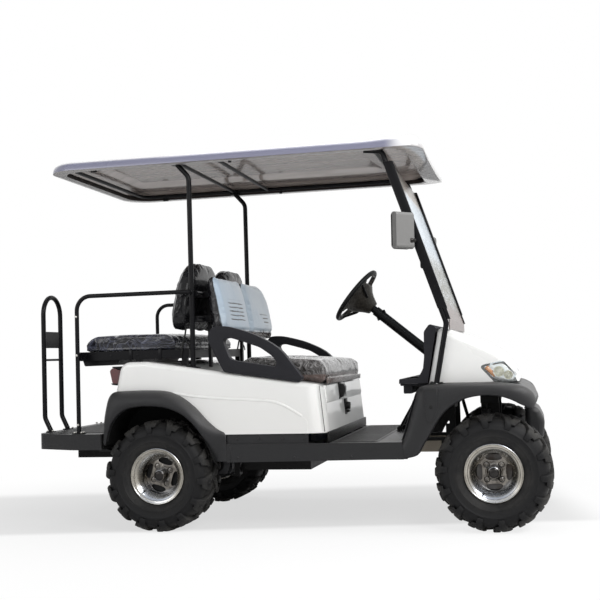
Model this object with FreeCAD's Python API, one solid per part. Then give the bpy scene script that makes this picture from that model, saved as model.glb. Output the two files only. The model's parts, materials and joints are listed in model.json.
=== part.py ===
"""Electric hunting buggy: a lifted four-seat runabout with a canopy and a rear-facing bench.

The model is laid out from the rear axle: X forward, Y to the vehicle's left, Z up from the
ground, in millimetres.  Each sub-part has a function that returns its solids, and `put` keeps
them under the node's name.  At the end everything moves together along X, so that the origin
lies on the ground under the middle of the overall length, and one STEP per node is written.
"""
import FreeCAD, Part
import math
import os

V = FreeCAD.Vector

# --- fits and skins -----------------------------------------------------------------------
SEAT = 0.3              # gap between a piece and the seat that carries it
SKIN = 5.0              # moulded panel thickness
SHEET = 4.0             # pressed steel thickness
TUBE_R = 12.5           # grab hoop tube radius
GRAB_R = 11.0           # side grab tube radius
MAT_T = 2.0             # raised tread of the floor and the footrest
POST_R = 13.0           # roof strut and windshield post radius

# --- wheels and axles -----------------------------------------------------------------------
WHEELBASE = 1650.0
TRACK_FRONT = 950.0
TRACK_REAR = 1050.0
TYRE_R = 277.0
TYRE_HALF = 131.0       # half width of the tyre at its widest
TYRE_WALL = 12.0
RIM_R = 139.0           # over the flange
RIM_HALF = 106.0
BEAD_R = 127.0
DISC_Y = 60.0           # outboard face of the wheel disc from the wheel's middle
DISC_T = 8.0
LUG_CIRCLE_R = 50.8
LUGS = 4
STUB_R = 15.7           # stub axle in the hub's bore
HUB_BORE_R = 16.0
DRUM_R = 90.0
DRUM_Y = (-62.0, 14.0)  # brake drum, from the wheel's middle
KINGPIN_IN = 100.0      # kingpin axis inboard of the wheel's middle
KINGPIN_R = 10.0
KINGPIN_FIT = 0.4
ARM_END = (-85.0, -25.0)  # steering arm's ball joint from the kingpin
AXLE_R = 30.0
REAR_AXLE_R = 36.0
PAD_T = 5.0             # spring pads, under the axles
DAMPER_Y = 220.0
DAMPER_BACK = 40.0      # dampers behind the front axle
DAMPER_FOOT = 24.0      # foot of a damper above the beam

# --- chassis --------------------------------------------------------------------------------
RAIL_Z = (345.0, 415.0)
RAIL_Y = 300.0          # rear rails, middle
RAIL_W = 50.0
NOSE_RAIL_Y = 165.0     # front rails, middle
RAIL_REAR = -560.0
RAIL_STEP = WHEELBASE - 500.0   # where the wide rails end and the narrow ones begin
RAIL_NOSE = WHEELBASE + 150.0
OUTRIGGERS_X = (440.0, 780.0, RAIL_STEP - 20.0)
OUTRIGGER_W = 40.0
HANGER_T = 7.0          # spring hanger plates
BODY_HALF = 600.0       # half width over the body's sides
FLARE_HALF = BODY_HALF + 60.0   # half width over the rear flares
FENDER_HALF = BODY_HALF + 10.0  # half width over the front fenders

# --- cabin ----------------------------------------------------------------------------------
FLOOR_Z = 430.0
FLOOR_T = 5.0
PEDAL_X = WHEELBASE - 522.0     # pedals' cross pin
SEAT_FRONT_X = 840.0    # top of the seat base's front panel
SILL_Z = 478.0
DECK_Z = 490.0          # rear footrest's tread
SEAT_HALF = BODY_HALF - 80.0
LID_PIN = (850.0, 722.0)  # seat lid's hinge pin
LID_PIN_R = 5.0
LUG_Y = (-410.0, 0.0, 410.0)
STRUT_X = 172.0
STRUT_HALF = BODY_HALF - 70.0
POST_HALF = FENDER_HALF - 80.0  # windshield posts, middle
GRAB_X = -433.0
GRAB_HALF = BODY_HALF - 15.0
GRAB_TOP = 1195.0

# --- canopy ---------------------------------------------------------------------------------
ROOF_REAR = -600.0
ROOF_FRONT = WHEELBASE - 272.0
ROOF_HALF = STRUT_HALF + 75.0
ROOF_RIM_Z = 1850.0
ROOF_TOP_Z = 1950.0
ROOF_RAIL_Z = 1868.0    # tube frame under the canopy

# --- steering -------------------------------------------------------------------------------
WHEEL_CENTRE = (WHEELBASE - 761.0, 250.0, 1186.0)
COLUMN_TILT = 40.0      # column's angle above the horizontal
COLUMN_R = 21.0
SHROUD_R = 27.0
JOINT_T = 700.0         # lower joint, down the column from the rim's plane
PINION = (-3.0, 65.0)   # pinion shaft's foot: behind the rack, and to the left
PINION_LONG = 38.0
STEER_R = 163.0         # to the rim's middle
STEER_TUBE_R = 13.0
RACK_X = WHEELBASE + ARM_END[0]
RACK_Z = 262.0

# --- drive ----------------------------------------------------------------------------------
MOTOR_X = 180.0         # motor ahead of the rear axle
MOTOR_Z = 12.0          # motor above the rear axle
MOTOR_R = 78.0
MOTOR_LONG = 210.0
GEARCASE_Y = (0.0, 70.0)

COLUMN_DIR = (-math.cos(math.radians(COLUMN_TILT)), 0.0, math.sin(math.radians(COLUMN_TILT)))

NODES = {}


# --- helpers --------------------------------------------------------------------------------
def put(name, *shapes):
    """Keep the solids of one node."""
    solids = [solid for shape in shapes for solid in shape.Solids]
    if name in NODES:
        raise ValueError("two nodes named " + name)
    NODES[name] = solids[0] if len(solids) == 1 else Part.makeCompound(solids)


def box(x0, x1, y0, y1, z0, z1):
    """Box between two corners."""
    return Part.makeBox(x1 - x0, y1 - y0, z1 - z0, V(x0, y0, z0))


def rod(start, end, radius):
    """Round bar between two points."""
    a, b = V(*start), V(*end)
    return Part.makeCylinder(radius, (b - a).Length, a, b - a)


def outline(*steps):
    """Closed face in the XZ plane; a step is a point, or an arc given by (middle, end)."""
    def at(point):
        return V(point[0], 0, point[1])
    here, edges = at(steps[0]), []
    for step in list(steps[1:]) + [steps[0]]:
        if isinstance(step[0], tuple):
            edges.append(Part.Arc(here, at(step[0]), at(step[1])).toShape())
            here = at(step[1])
        elif (at(step) - here).Length > 1e-6:
            edges.append(Part.LineSegment(here, at(step)).toShape())
            here = at(step)
    return Part.Face(Part.Wire(edges))


def sketch(corners):
    """Closed face in the XZ plane from corners (x, z) or (x, z, radius), rounded by arcs."""
    count, starts, arcs = len(corners), [], []
    for k, corner in enumerate(corners):
        here = V(corner[0], 0, corner[1])
        before, after = corners[k - 1], corners[(k + 1) % count]
        u = (V(before[0], 0, before[1]) - here).normalize()
        w = (V(after[0], 0, after[1]) - here).normalize()
        radius = corner[2] if len(corner) > 2 else 0.0
        if radius <= 0.0:
            starts.append((here, here))
            arcs.append(None)
            continue
        half = math.acos(max(-1.0, min(1.0, u.dot(w)))) / 2
        reach = radius / math.tan(half)
        middle = here + (u + w).normalize() * (radius / math.sin(half) - radius)
        starts.append((here + u * reach, here + w * reach))
        arcs.append(Part.Arc(here + u * reach, middle, here + w * reach).toShape())
    edges = []
    for k in range(count):
        if arcs[k] is not None:
            edges.append(arcs[k])
        leave, arrive = starts[k][1], starts[(k + 1) % count][0]
        if (arrive - leave).Length > 1e-4:
            edges.append(Part.LineSegment(leave, arrive).toShape())
    return Part.Face(Part.Wire(edges))


def inset(corners, depth):
    """The same corners with every side moved inwards by a depth, radii following."""
    area = sum(a[0] * b[1] - b[0] * a[1] for a, b in zip(corners, corners[1:] + corners[:1]))
    hand = 1.0 if area > 0 else -1.0
    moved = []
    for k, corner in enumerate(corners):
        before, after = corners[k - 1], corners[(k + 1) % len(corners)]
        d0 = V(corner[0] - before[0], corner[1] - before[1], 0).normalize()
        d1 = V(after[0] - corner[0], after[1] - corner[1], 0).normalize()
        n0, n1 = V(-d0.y, d0.x, 0) * hand, V(-d1.y, d1.x, 0) * hand
        shift = (n0 + n1) * (depth / (1.0 + n0.dot(n1)))
        turn = (d0.x * d1.y - d0.y * d1.x) * hand
        radius = corner[2] if len(corner) > 2 else 0.0
        if radius > 0.0:
            radius = max(0.0, radius - depth if turn > 0 else radius + depth)
        moved.append((corner[0] + shift.x, corner[1] + shift.y, radius))
    return moved


def across(face, y0, y1):
    """Solid from an XZ face, drawn out between two values of Y."""
    moved = face.translated(V(0, y0, 0))
    return moved.extrude(V(0, y1 - y0, 0))


def mirrored(shape):
    """The same shape on the vehicle's other side."""
    return shape.mirror(V(0, 0, 0), V(0, 1, 0))


def fuse(*shapes):
    """One solid from pieces that touch or overlap."""
    whole = shapes[0]
    if len(shapes) > 1:
        whole = shapes[0].fuse(list(shapes[1:]))
    return whole.removeSplitter()


def tube(points, radius, *bends):
    """Round tube along straight runs joined by tangent arcs; one bend radius a corner."""
    path = [V(*p) for p in points]
    edges, here = [], path[0]
    for before, corner, after, bend in zip(path, path[1:], path[2:], bends):
        u = (before - corner).normalize()
        w = (after - corner).normalize()
        half = math.acos(max(-1.0, min(1.0, u.dot(w)))) / 2
        reach = bend / math.tan(half)
        start, end = corner + u * reach, corner + w * reach
        middle = corner + (u + w).normalize() * (bend / math.sin(half) - bend)
        edges.append(Part.LineSegment(here, start).toShape())
        edges.append(Part.Arc(start, middle, end).toShape())
        here = end
    edges.append(Part.LineSegment(here, path[-1]).toShape())
    ring = Part.Wire(Part.makeCircle(radius, path[0], path[1] - path[0]))
    return Part.Wire(edges).makePipeShell([ring], True, False)


def turned(section, axis_point=(0, 0, 0), axis=(0, 1, 0)):
    """Solid of revolution from (y, r) points about the Y axis."""
    points = [V(0, y, r) for y, r in section]
    wire = Part.makePolygon(points + points[:1])
    return Part.Face(wire).revolve(V(*axis_point), V(*axis), 360)


def edges_where(shape, test):
    """The shape's edges whose middle point passes a test."""
    picked = []
    for edge in shape.Edges:
        middle = edge.valueAt((edge.FirstParameter + edge.LastParameter) / 2)
        if test(middle, edge):
            picked.append(edge)
    return picked


def level_edges(shape, y, slack=0.5):
    """Edges that lie in a plane of constant Y."""
    return edges_where(shape, lambda m, e: abs(m.y - y) < slack
                       and all(abs(v.Point.y - y) < slack for v in e.Vertexes))


def on_column(t):
    """Point on the steering axis, a distance below the rim's plane."""
    return tuple(c - d * t for c, d in zip(WHEEL_CENTRE, COLUMN_DIR))


# --- wheels ---------------------------------------------------------------------------------
def tyre():
    """Balloon tyre about the Y axis, hollow, its beads inside the rim's flanges."""
    bead = RIM_HALF - 7.0 - SEAT
    outer = [(bead, BEAD_R + SEAT), (bead, RIM_R + 1), (bead + 18, RIM_R + 20),
             (TYRE_HALF, TYRE_R - 80), (TYRE_HALF, TYRE_R - 55), (TYRE_HALF - 12, TYRE_R - 24),
             (TYRE_HALF - 32, TYRE_R - 3), (TYRE_HALF - 48, TYRE_R)]
    inner = [(bead - TYRE_WALL, BEAD_R - 1), (bead - TYRE_WALL, RIM_R), (bead + 4, RIM_R + 22),
             (TYRE_HALF - TYRE_WALL, TYRE_R - 78), (TYRE_HALF - TYRE_WALL, TYRE_R - 60),
             (TYRE_HALF - 34, TYRE_R - 22), (TYRE_HALF - 48, TYRE_R - TYRE_WALL)]
    ring = outer + [(-y, r) for y, r in reversed(outer)]
    hollow = inner + [(-y, r) for y, r in reversed(inner)]
    return turned(ring).cut(turned(hollow))


def rim():
    """Deep-lipped alloy wheel, outboard towards +Y: barrel, disc, oval windows, nuts and cap."""
    lip, well, face = RIM_HALF, BEAD_R - 18, DISC_Y
    section = [(face, 0), (face, 98), (face + 6, 103), (lip - 16, 112), (lip - 12, 121),
               (lip - 4, 131), (lip, 134), (lip, RIM_R), (lip - 7, RIM_R), (lip - 7, BEAD_R),
               (lip - 27, BEAD_R), (lip - 42, well), (-40, well), (-lip + 26, BEAD_R),
               (-lip + 7, BEAD_R), (-lip + 7, RIM_R), (-lip, RIM_R), (-lip, 134),
               (-lip + 8, 121), (-lip + 28, 121), (-38, well - 6), (face - DISC_T, well - 6),
               (face - DISC_T, 36), (24, 36), (24, HUB_BORE_R), (face - 6, HUB_BORE_R),
               (face - 6, 0)]
    wheel = turned(section)
    window_at, window_half, window_r = 67.0, 19.0, 17.0
    for k in range(LUGS):
        slot = box(-window_half, window_half, face - 20, face + 20,
                   window_at - window_r, window_at + window_r)
        for end in (-window_half, window_half):
            slot = slot.fuse(rod((end, face - 20, window_at), (end, face + 20, window_at),
                                 window_r))
        slot.rotate(V(0, 0, 0), V(0, 1, 0), 90.0 * k)
        wheel = wheel.cut(slot)
    for k in range(LUGS):
        angle = math.radians(45 + 90 * k)
        x, z = LUG_CIRCLE_R * math.sin(angle), LUG_CIRCLE_R * math.cos(angle)
        nut = Part.Face(Part.makePolygon(
            [V(x + 11 * math.cos(math.radians(60 * i)), face, z + 11 * math.sin(math.radians(60 * i)))
             for i in range(7)])).extrude(V(0, 14, 0))
        wheel = wheel.fuse(nut)
    cap = turned([(face, 0), (face, 28), (face + 12, 28), (face + 16, 24), (face + 18, 0)])
    return wheel.fuse(cap).removeSplitter()


def placed_wheels():
    """The four tyres and rims on their axles."""
    for end, x, half in (("front", WHEELBASE, TRACK_FRONT / 2), ("rear", 0.0, TRACK_REAR / 2)):
        for piece, shape in (("tyre", tyre()), ("rim", rim())):
            left = shape.translated(V(x, half, TYRE_R))
            put(piece + "_" + end + "_left", left)
            put(piece + "_" + end + "_right", mirrored(left))


# --- axles and steering ---------------------------------------------------------------------
def drum_and_stub(half):
    """Brake drum and stub axle of one left wheel, in place at a half track."""
    y0, y1 = half + DRUM_Y[0], half + DRUM_Y[1]
    section = [(y0, 0), (y0, DRUM_R - 12), (y0 + 10, DRUM_R), (y1 - 6, DRUM_R),
               (y1, DRUM_R - 6), (y1, STUB_R), (half + DISC_Y - 10, STUB_R),
               (half + DISC_Y - 10, 0)]
    return turned(section)


def knuckle():
    """Left steering knuckle: barrel on the kingpin, brake drum, stub and steering arm."""
    half = TRACK_FRONT / 2
    pin_y = half - KINGPIN_IN
    drum = drum_and_stub(half)
    barrel = rod((0, pin_y, -68), (0, pin_y, 68), 24)
    web = box(-26, 26, pin_y, half + DRUM_Y[0] + 4, -42, 42)
    arm_x, arm_y = ARM_END[0], pin_y + ARM_END[1]
    root_y = half + DRUM_Y[0] + 2
    arm = Part.Face(Part.makePolygon([V(-46, root_y, -44), V(-74, root_y, -44),
                                      V(arm_x - 12, arm_y, -44), V(arm_x + 12, arm_y, -44),
                                      V(-46, root_y, -44)])).extrude(V(0, 0, 12))
    eye = rod((arm_x, arm_y, -46), (arm_x, arm_y, -30), 14)
    body = fuse(drum, barrel, web, arm, eye)
    bore = rod((0, pin_y, -90), (0, pin_y, 90), KINGPIN_R + KINGPIN_FIT)
    return body.cut(bore).translated(V(WHEELBASE, 0, TYRE_R))


def front_axle():
    """Beam with a yoke and a kingpin at each end, spring pads and the rack's brackets."""
    pin_y = TRACK_FRONT / 2 - KINGPIN_IN
    beam = rod((0, -pin_y + 40, 0), (0, pin_y - 40, 0), AXLE_R)
    pieces = [beam]
    for side in (1, -1):
        y0, y1 = sorted((side * (pin_y - 46), side * (pin_y - 33)))
        pieces.append(box(-14, 14, y0, y1, -86, 86))
        for z in (-86, 70):
            y0, y1 = sorted((side * (pin_y - 46), side * pin_y))
            pieces.append(box(-14, 14, y0, y1, z, z + 16))
            pieces.append(rod((0, side * pin_y, z), (0, side * pin_y, z + 16), 22))
        pieces.append(rod((0, side * pin_y, -90), (0, side * pin_y, 90), KINGPIN_R))
        y0, y1 = sorted((side * (NOSE_RAIL_Y - 27), side * (NOSE_RAIL_Y + 27)))
        pieces.append(box(-40, 40, y0, y1, -AXLE_R - PAD_T, -10))
        y0, y1 = sorted((side * (DAMPER_Y - 16), side * (DAMPER_Y + 16)))
        pieces.append(box(-DAMPER_BACK - 18, 10 - DAMPER_BACK, y0, y1, 0,
                          AXLE_R + DAMPER_FOOT - SEAT))
        rack_z = RACK_Z - TYRE_R
        bracket = outline((ARM_END[0] - 4, rack_z - 16), (ARM_END[0] + 18, rack_z - 16),
                          (-10, -26), (-10, 20), (ARM_END[0] - 4, rack_z + 18))
        pieces.append(across(bracket, side * 90 - 5, side * 90 + 5))
    housing = rod((ARM_END[0], -120, rack_z), (ARM_END[0], 120, rack_z), 22)
    boss = rod(on_pinion(0), on_pinion(PINION_LONG), 15).translated(V(-WHEELBASE, 0, -TYRE_R))
    whole = fuse(*pieces, housing, boss)
    bore = rod((ARM_END[0], -130, rack_z), (ARM_END[0], 130, rack_z), 10 + KINGPIN_FIT)
    return whole.cut(bore).translated(V(WHEELBASE, 0, TYRE_R))


def tie_rod():
    """Rack bar across the car; its eyes lie over the steering arms' eyes."""
    reach = TRACK_FRONT / 2 - KINGPIN_IN + ARM_END[1]
    bar = rod((RACK_X, -reach + 10, RACK_Z), (RACK_X, reach - 10, RACK_Z), 10)
    eyes = [rod((RACK_X, side * reach, RACK_Z - 8), (RACK_X, side * reach, RACK_Z + 12), 14)
            for side in (1, -1)]
    return fuse(bar, *eyes)


FRONT_SPRING = dict(x=WHEELBASE, y=NOSE_RAIL_Y, seat_z=TYRE_R - AXLE_R - PAD_T, pad_half=40.0,
                    half=130.0, rise=14.0, leaves=2)
REAR_SPRING = dict(x=0.0, y=RAIL_Y, seat_z=TYRE_R - REAR_AXLE_R - PAD_T, pad_half=45.0,
                   half=330.0, rise=20.0, leaves=3)
LEAF_T = 7.0
LEAF_W = 48.0


def leaf_arc(spring):
    """Radius of the main leaf's top and the height of its centre, clear of the pad's ends."""
    radius = (spring["half"] ** 2 + spring["rise"] ** 2) / (2 * spring["rise"])
    return radius, spring["seat_z"] - SEAT + math.sqrt(radius ** 2 - spring["pad_half"] ** 2)


def eye_z(spring):
    """Height of the main leaf's ends."""
    radius, centre_z = leaf_arc(spring)
    return centre_z - math.sqrt(radius ** 2 - spring["half"] ** 2)


def leaf_spring(spring):
    """Left leaves on common arcs, slung under the axle's pad, with an eye at each end."""
    radius, centre_z = leaf_arc(spring)
    x, y = spring["x"], spring["y"]
    pieces = []
    for k in range(spring["leaves"]):
        spread = math.asin(spring["half"] / radius) * (1.0 - 0.2 * k)

        def at(r, angle):
            return (x + r * math.sin(angle), centre_z - r * math.cos(angle))
        top, low = radius + LEAF_T * k, radius + LEAF_T * (k + 1)
        leaf = outline(at(top, -spread), (at(top, 0), at(top, spread)), at(low, spread),
                       (at(low, 0), at(low, -spread)))
        pieces.append(across(leaf, y - LEAF_W / 2, y + LEAF_W / 2))
    for end in (-1, 1):
        eye_x, z = x + end * spring["half"], eye_z(spring)
        pieces.append(rod((eye_x, y - LEAF_W / 2, z), (eye_x, y + RAIL_W / 2, z), 13))
    return fuse(*pieces)


def front_damper():
    """Left front coil-over: sleeve, rod and spring body between the beam and its tower."""
    foot = (WHEELBASE - DAMPER_BACK, DAMPER_Y, TYRE_R + AXLE_R + DAMPER_FOOT)
    head = (WHEELBASE - DAMPER_BACK, DAMPER_Y, TOWER_Z[0] - SEAT)
    mid = tuple(a + (b - a) * 0.45 for a, b in zip(foot, head))
    return fuse(rod(foot, mid, 17), rod(mid, head, 8), rod((foot[0], foot[1], foot[2] + 60),
                (head[0], head[1], head[2] - 30), 24))


def rear_axle():
    """Axle tube with final drive, brake drums, stub axles and spring pads."""
    half = TRACK_REAR / 2
    reach = half + DRUM_Y[0] + 2
    axle_tube = rod((0, -reach, 0), (0, reach, 0), REAR_AXLE_R)
    bell = turned([(-60, 0), (-60, REAR_AXLE_R + 8), (-20, 92), (50, 92), (100, REAR_AXLE_R + 8),
                   (100, 0)])
    gearcase = rod((MOTOR_X, GEARCASE_Y[0], MOTOR_Z), (MOTOR_X, GEARCASE_Y[1], MOTOR_Z), 62)
    bridge = box(0, MOTOR_X, GEARCASE_Y[0], GEARCASE_Y[1], -30, 40)
    pieces = [axle_tube, bell, gearcase, bridge, drum_and_stub(half), mirrored(drum_and_stub(half))]
    for side in (1, -1):
        y0, y1 = sorted((side * (RAIL_Y - 27), side * (RAIL_Y + 27)))
        pieces.append(box(-45, 45, y0, y1, -REAR_AXLE_R - PAD_T, -10))
    return fuse(*pieces).translated(V(0, 0, TYRE_R))


def drive_motor():
    """Electric motor flanged to the side of the gearcase, with cooling ribs and end bell."""
    y1 = GEARCASE_Y[0] - SEAT
    y0 = y1 - MOTOR_LONG
    section = [(y0, 0), (y0, 40), (y0 + 14, MOTOR_R - 8), (y0 + 34, MOTOR_R - 8)]
    rib, ribs = 9.0, 8
    for k in range(ribs):
        y = y0 + 34 + 2 * rib * k
        section += [(y, MOTOR_R), (y + rib, MOTOR_R), (y + rib, MOTOR_R - 6),
                    (y + 2 * rib, MOTOR_R - 6)]
    section += [(y1 - 12, MOTOR_R - 6), (y1 - 12, MOTOR_R), (y1, MOTOR_R), (y1, 0)]
    return turned(section).translated(V(MOTOR_X, 0, TYRE_R + MOTOR_Z))


# --- chassis --------------------------------------------------------------------------------
BATTERY = dict(x0=345.0, x1=705.0, half=RAIL_Y - 64.0, z0=272.0, z1=540.0)
TOWER_X = (WHEELBASE - 66, WHEELBASE + 24)
TOWER_Z = (590.0, 640.0)
BRACE_X = (WHEELBASE - 248, WHEELBASE - 198)
BRACE_Y = (NOSE_RAIL_Y + 8, NOSE_RAIL_Y + 20)
STEP_LONG = 60.0        # cross member where the rails step in


def chassis_sides():
    """Left rails, outriggers, spring hangers, deck posts, damper tower and cowl brace."""
    z0, z1 = RAIL_Z
    wide, narrow, half = RAIL_Y + RAIL_W / 2, NOSE_RAIL_Y + RAIL_W / 2, RAIL_W / 2
    pieces = [box(RAIL_REAR, RAIL_STEP - STEP_LONG - SEAT, RAIL_Y - half, wide, z0, z1),
              box(RAIL_STEP + SEAT, RAIL_NOSE, NOSE_RAIL_Y - half, narrow, z0, z1)]
    for x in OUTRIGGERS_X:
        pieces.append(box(x - OUTRIGGER_W / 2, x + OUTRIGGER_W / 2, wide + SEAT, BODY_HALF - 30,
                          z1 - OUTRIGGER_W, z1))
    for spring, rail in ((REAR_SPRING, wide), (FRONT_SPRING, narrow)):
        for end in (-1, 1):
            x = spring["x"] + end * spring["half"]
            pieces.append(box(x - 14, x + 14, rail + SEAT, rail + HANGER_T,
                              eye_z(spring) - 14, z1 - 20))
    for x in (RAIL_REAR + 10, -310.0):
        pieces.append(box(x - 20, x + 20, RAIL_Y - 20, RAIL_Y + 20, z1 + SEAT,
                          DECK_Z - SKIN - SEAT))
    leg_y = NOSE_RAIL_Y + 20
    pieces.append(box(*TOWER_X, NOSE_RAIL_Y - 12, leg_y, z1 + SEAT, TOWER_Z[1]))
    pieces.append(box(*TOWER_X, leg_y + SEAT, NOSE_RAIL_Y + 76, *TOWER_Z))
    hole = rod((BRACE_X[0] + 12, BRACE_Y[0] - 1, 494), (BRACE_X[0] + 12, BRACE_Y[1] + 1, 494), 8)
    pieces.append(box(*BRACE_X, *BRACE_Y, z1 + SEAT, 600).cut(hole))
    return pieces


def chassis_middle():
    """Cross members of the frame and the battery tray hung between the rails."""
    z0, z1 = RAIL_Z
    wide = RAIL_Y - RAIL_W / 2 - SEAT
    narrow = NOSE_RAIL_Y - RAIL_W / 2 - SEAT
    ends = RAIL_Y + RAIL_W / 2
    pieces = [box(RAIL_STEP - STEP_LONG, RAIL_STEP, -ends, ends, z0, z1)]
    for x in (RAIL_REAR + 25, 250.0, OUTRIGGERS_X[1]):
        pieces.append(box(x - 25, x + 25, -wide, wide, z1 - 50, z1))
    for x in (WHEELBASE - 400, BRACE_X[0] + 25, RAIL_NOSE - 25):
        pieces.append(box(x - 20, x + 20, -narrow, narrow, z1 - 45, z1))
    reach = BRACE_Y[0] - SEAT
    pieces.append(box(BRACE_X[0] + 10, BRACE_X[1] - 10, -reach, reach, 560, 600))
    x0, x1, low = BATTERY["x0"], BATTERY["x1"], BATTERY["z0"]
    tray = box(x0 - SHEET - SEAT, x1 + SHEET + SEAT, -wide, wide, low - SHEET - SEAT, z1 - 30)
    pieces.append(tray.cut(box(x0 - SEAT, x1 + SEAT, SHEET - wide, wide - SHEET, low - SEAT, z1)))
    return pieces


def battery_pack():
    """Six block batteries, two along and three across, with their lids and terminals."""
    gap, along, rows = 6.0, 2, 3
    long = (BATTERY["x1"] - BATTERY["x0"] - gap * (along - 1)) / along
    wide = (2 * BATTERY["half"] - gap * (rows - 1)) / rows
    cells = []
    for i in range(along):
        for j in range(rows):
            x = BATTERY["x0"] + i * (long + gap)
            y = -BATTERY["half"] + j * (wide + gap)
            case = box(x, x + long, y, y + wide, BATTERY["z0"], BATTERY["z1"] - 24)
            lid = box(x + 6, x + long - 6, y + 6, y + wide - 6, BATTERY["z1"] - 24, BATTERY["z1"] - 14)
            posts = [rod((x + px, y + wide / 2, BATTERY["z1"] - 14),
                         (x + px, y + wide / 2, BATTERY["z1"]), 8) for px in (24, long - 24)]
            cells.append(fuse(case, lid, *posts))
    return cells


# --- body panels ----------------------------------------------------------------------------
def at_front(*corners):
    """Corners given from the front axle, along X."""
    return [(WHEELBASE + c[0],) + tuple(c[1:]) for c in corners]


REAR_ARCH = [(-268, 430), (-196, 628, 150), (158, 628, 190), (306, 345)]
REAR_BODY = [(-240, SILL_Z), (-226, 700), (-194, 850, 58), (-60, 849), (SEAT_FRONT_X + 2, 712, 45),
             (864, SILL_Z)]
SHOULDER = 3.0          # lower sides stand this far proud of the upper sides
LINER_Y = 382.0         # inner face of the rear wheel wells' walls
SHOULDER_LINE = [(-300, SILL_Z - 10), (-300, 698), (40, 698), (76, 679), (226, 666, 400),
                 (484, 646, 400), (610, 633, 200), (700, 602, 120), (768, 540, 20),
                 (770, SILL_Z - 10)]
FRONT_CORNER = 80.0     # rounded upright corners of the seat base
REAR_FLARE = [(-268, 430), (-290, 452), (-258, 706, 50), (110, 706, 160), (250, 565, 300),
              (352, 420), (356, 345), (306, 345), (158, 628, 190), (-196, 628, 150)]
FENDER = at_front((-387, 352), (-424, 432, 30), (-344, 692, 20), (-305, 704), (160, 704, 70),
                  (216, 630, 30), (196, 584), (10, 646, 200), (-164, 646, 140))
FENDER_TOP = FENDER[3][1]
FENDER_IN = FENDER_HALF - 170.0   # inner edge of the fenders
COWL_FOOT = FENDER_TOP + SEAT
COWL = at_front((-298, COWL_FOOT), (-242, 978, 30), (-150, 950, 600), (66, 846, 110),
                (134, COWL_FOOT))
COWL_HALF = POST_HALF - 22.0
HEADLIGHT = at_front((-54, 782, 12), (5, 716, 25), (18, 700), (120, 700), (120, 740),
                     (62, 805, 20))
LAMP_IN = COWL_HALF - 178.0       # inner edge of the headlights


def opening(arch, low_z):
    """Face of a wheel opening, run straight down to a level at both ends."""
    first, last = arch[0], arch[-1]
    return sketch([(first[0], low_z)] + list(arch) + [(last[0], low_z)])


def grown(arch, low_z, amount):
    """Face of a wheel opening with its sides moved out by an amount."""
    first, last = arch[0], arch[-1]
    corners = [(first[0], low_z)] + list(arch) + [(last[0], low_z)]
    return sketch(inset(corners, -amount))


def body_form(depth):
    """The rear body's outer form above the shoulder line, drawn in by a depth."""
    half, round_r = BODY_HALF - SHOULDER - depth, 24
    solid = across(sketch(inset(REAR_BODY, depth)), -half, half)
    top = [e for y in (half, -half) for e in level_edges(solid, y)
           if e.BoundBox.ZMax > SILL_Z + SKIN + 30 and e.BoundBox.ZMin > SILL_Z - 1]
    solid = solid.makeFillet(round_r - depth, top)
    (x0, z0), (x1, z1) = REAR_BODY[-2][:2], REAR_BODY[-1][:2]
    fall = V(x1 - x0, 0, z1 - z0)
    corners = both_halves([(x0 - fall.x - depth, half, FRONT_CORNER - depth), (-500, half)])
    return solid.common(plan_face(corners, z0 - fall.z).extrude(fall * 3))


def rear_body():
    """White shell over the rear axle and batteries: shouldered sides, seat base and top deck."""
    outer = body_form(0.0)
    for side in (1, -1):
        ys = sorted((side * (BODY_HALF - 20), side * BODY_HALF))
        outer = outer.fuse(across(sketch(REAR_BODY), *ys).common(across(sketch(SHOULDER_LINE), *ys)))
    shell = outer.cut(body_form(SKIN))
    inner_half = BODY_HALF - SHOULDER - SKIN
    shell = shell.cut(box(-226, 780, -inner_half, inner_half, 400, SILL_Z + SKIN + 2))
    shell = shell.cut(box(700, 852, 80 - inner_half, inner_half - 80, 400, SILL_Z + SKIN + 2))
    for side in (1, -1):
        shell = shell.cut(across(grown(REAR_ARCH, 300, SKIN + SEAT), side * (LINER_Y - 2),
                                 side * (BODY_HALF + 100)))
    hatch = box(BATTERY["x0"] + 60, SEAT_FRONT_X - 90, -400, 400, 640, 900)
    return shell.cut(hatch)


def rear_flare():
    """Left moulded flare round the rear wheel opening, with its inner liner and back wall."""
    y0, wall_y = BODY_HALF + SEAT, LINER_Y
    front_foot, rear_foot = REAR_FLARE[-4][1] + 1, REAR_ARCH[0][1]
    outer = across(sketch(REAR_FLARE), y0, FLARE_HALF)
    crown = [e for e in level_edges(outer, FLARE_HALF)
             if e.BoundBox.ZMax > 640 or (e.BoundBox.XMin > 150 and e.BoundBox.ZMin > 418)]
    outer = outer.makeFillet(26, crown)
    skin = outer.cut(across(sketch(inset(REAR_FLARE, SKIN)), y0 - 1, FLARE_HALF - SKIN))
    wheel_space = across(opening(REAR_ARCH, 290), wall_y - 1, FLARE_HALF + 1)
    liner = across(grown(REAR_ARCH, 300, SKIN), wall_y, y0 + 1).cut(wheel_space)
    liner = liner.cut(box(0, 400, wall_y - 1, y0 + 2, 250, front_foot))
    liner = liner.cut(box(-400, 0, wall_y - 1, y0 + 2, 250, rear_foot))
    wall = across(opening(REAR_ARCH, 300), wall_y, wall_y + SHEET)
    wall = wall.cut(box(-400, 400, wall_y - 1, wall_y + SHEET + 1, 250, rear_foot))
    return fuse(skin, liner, wall)


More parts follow.
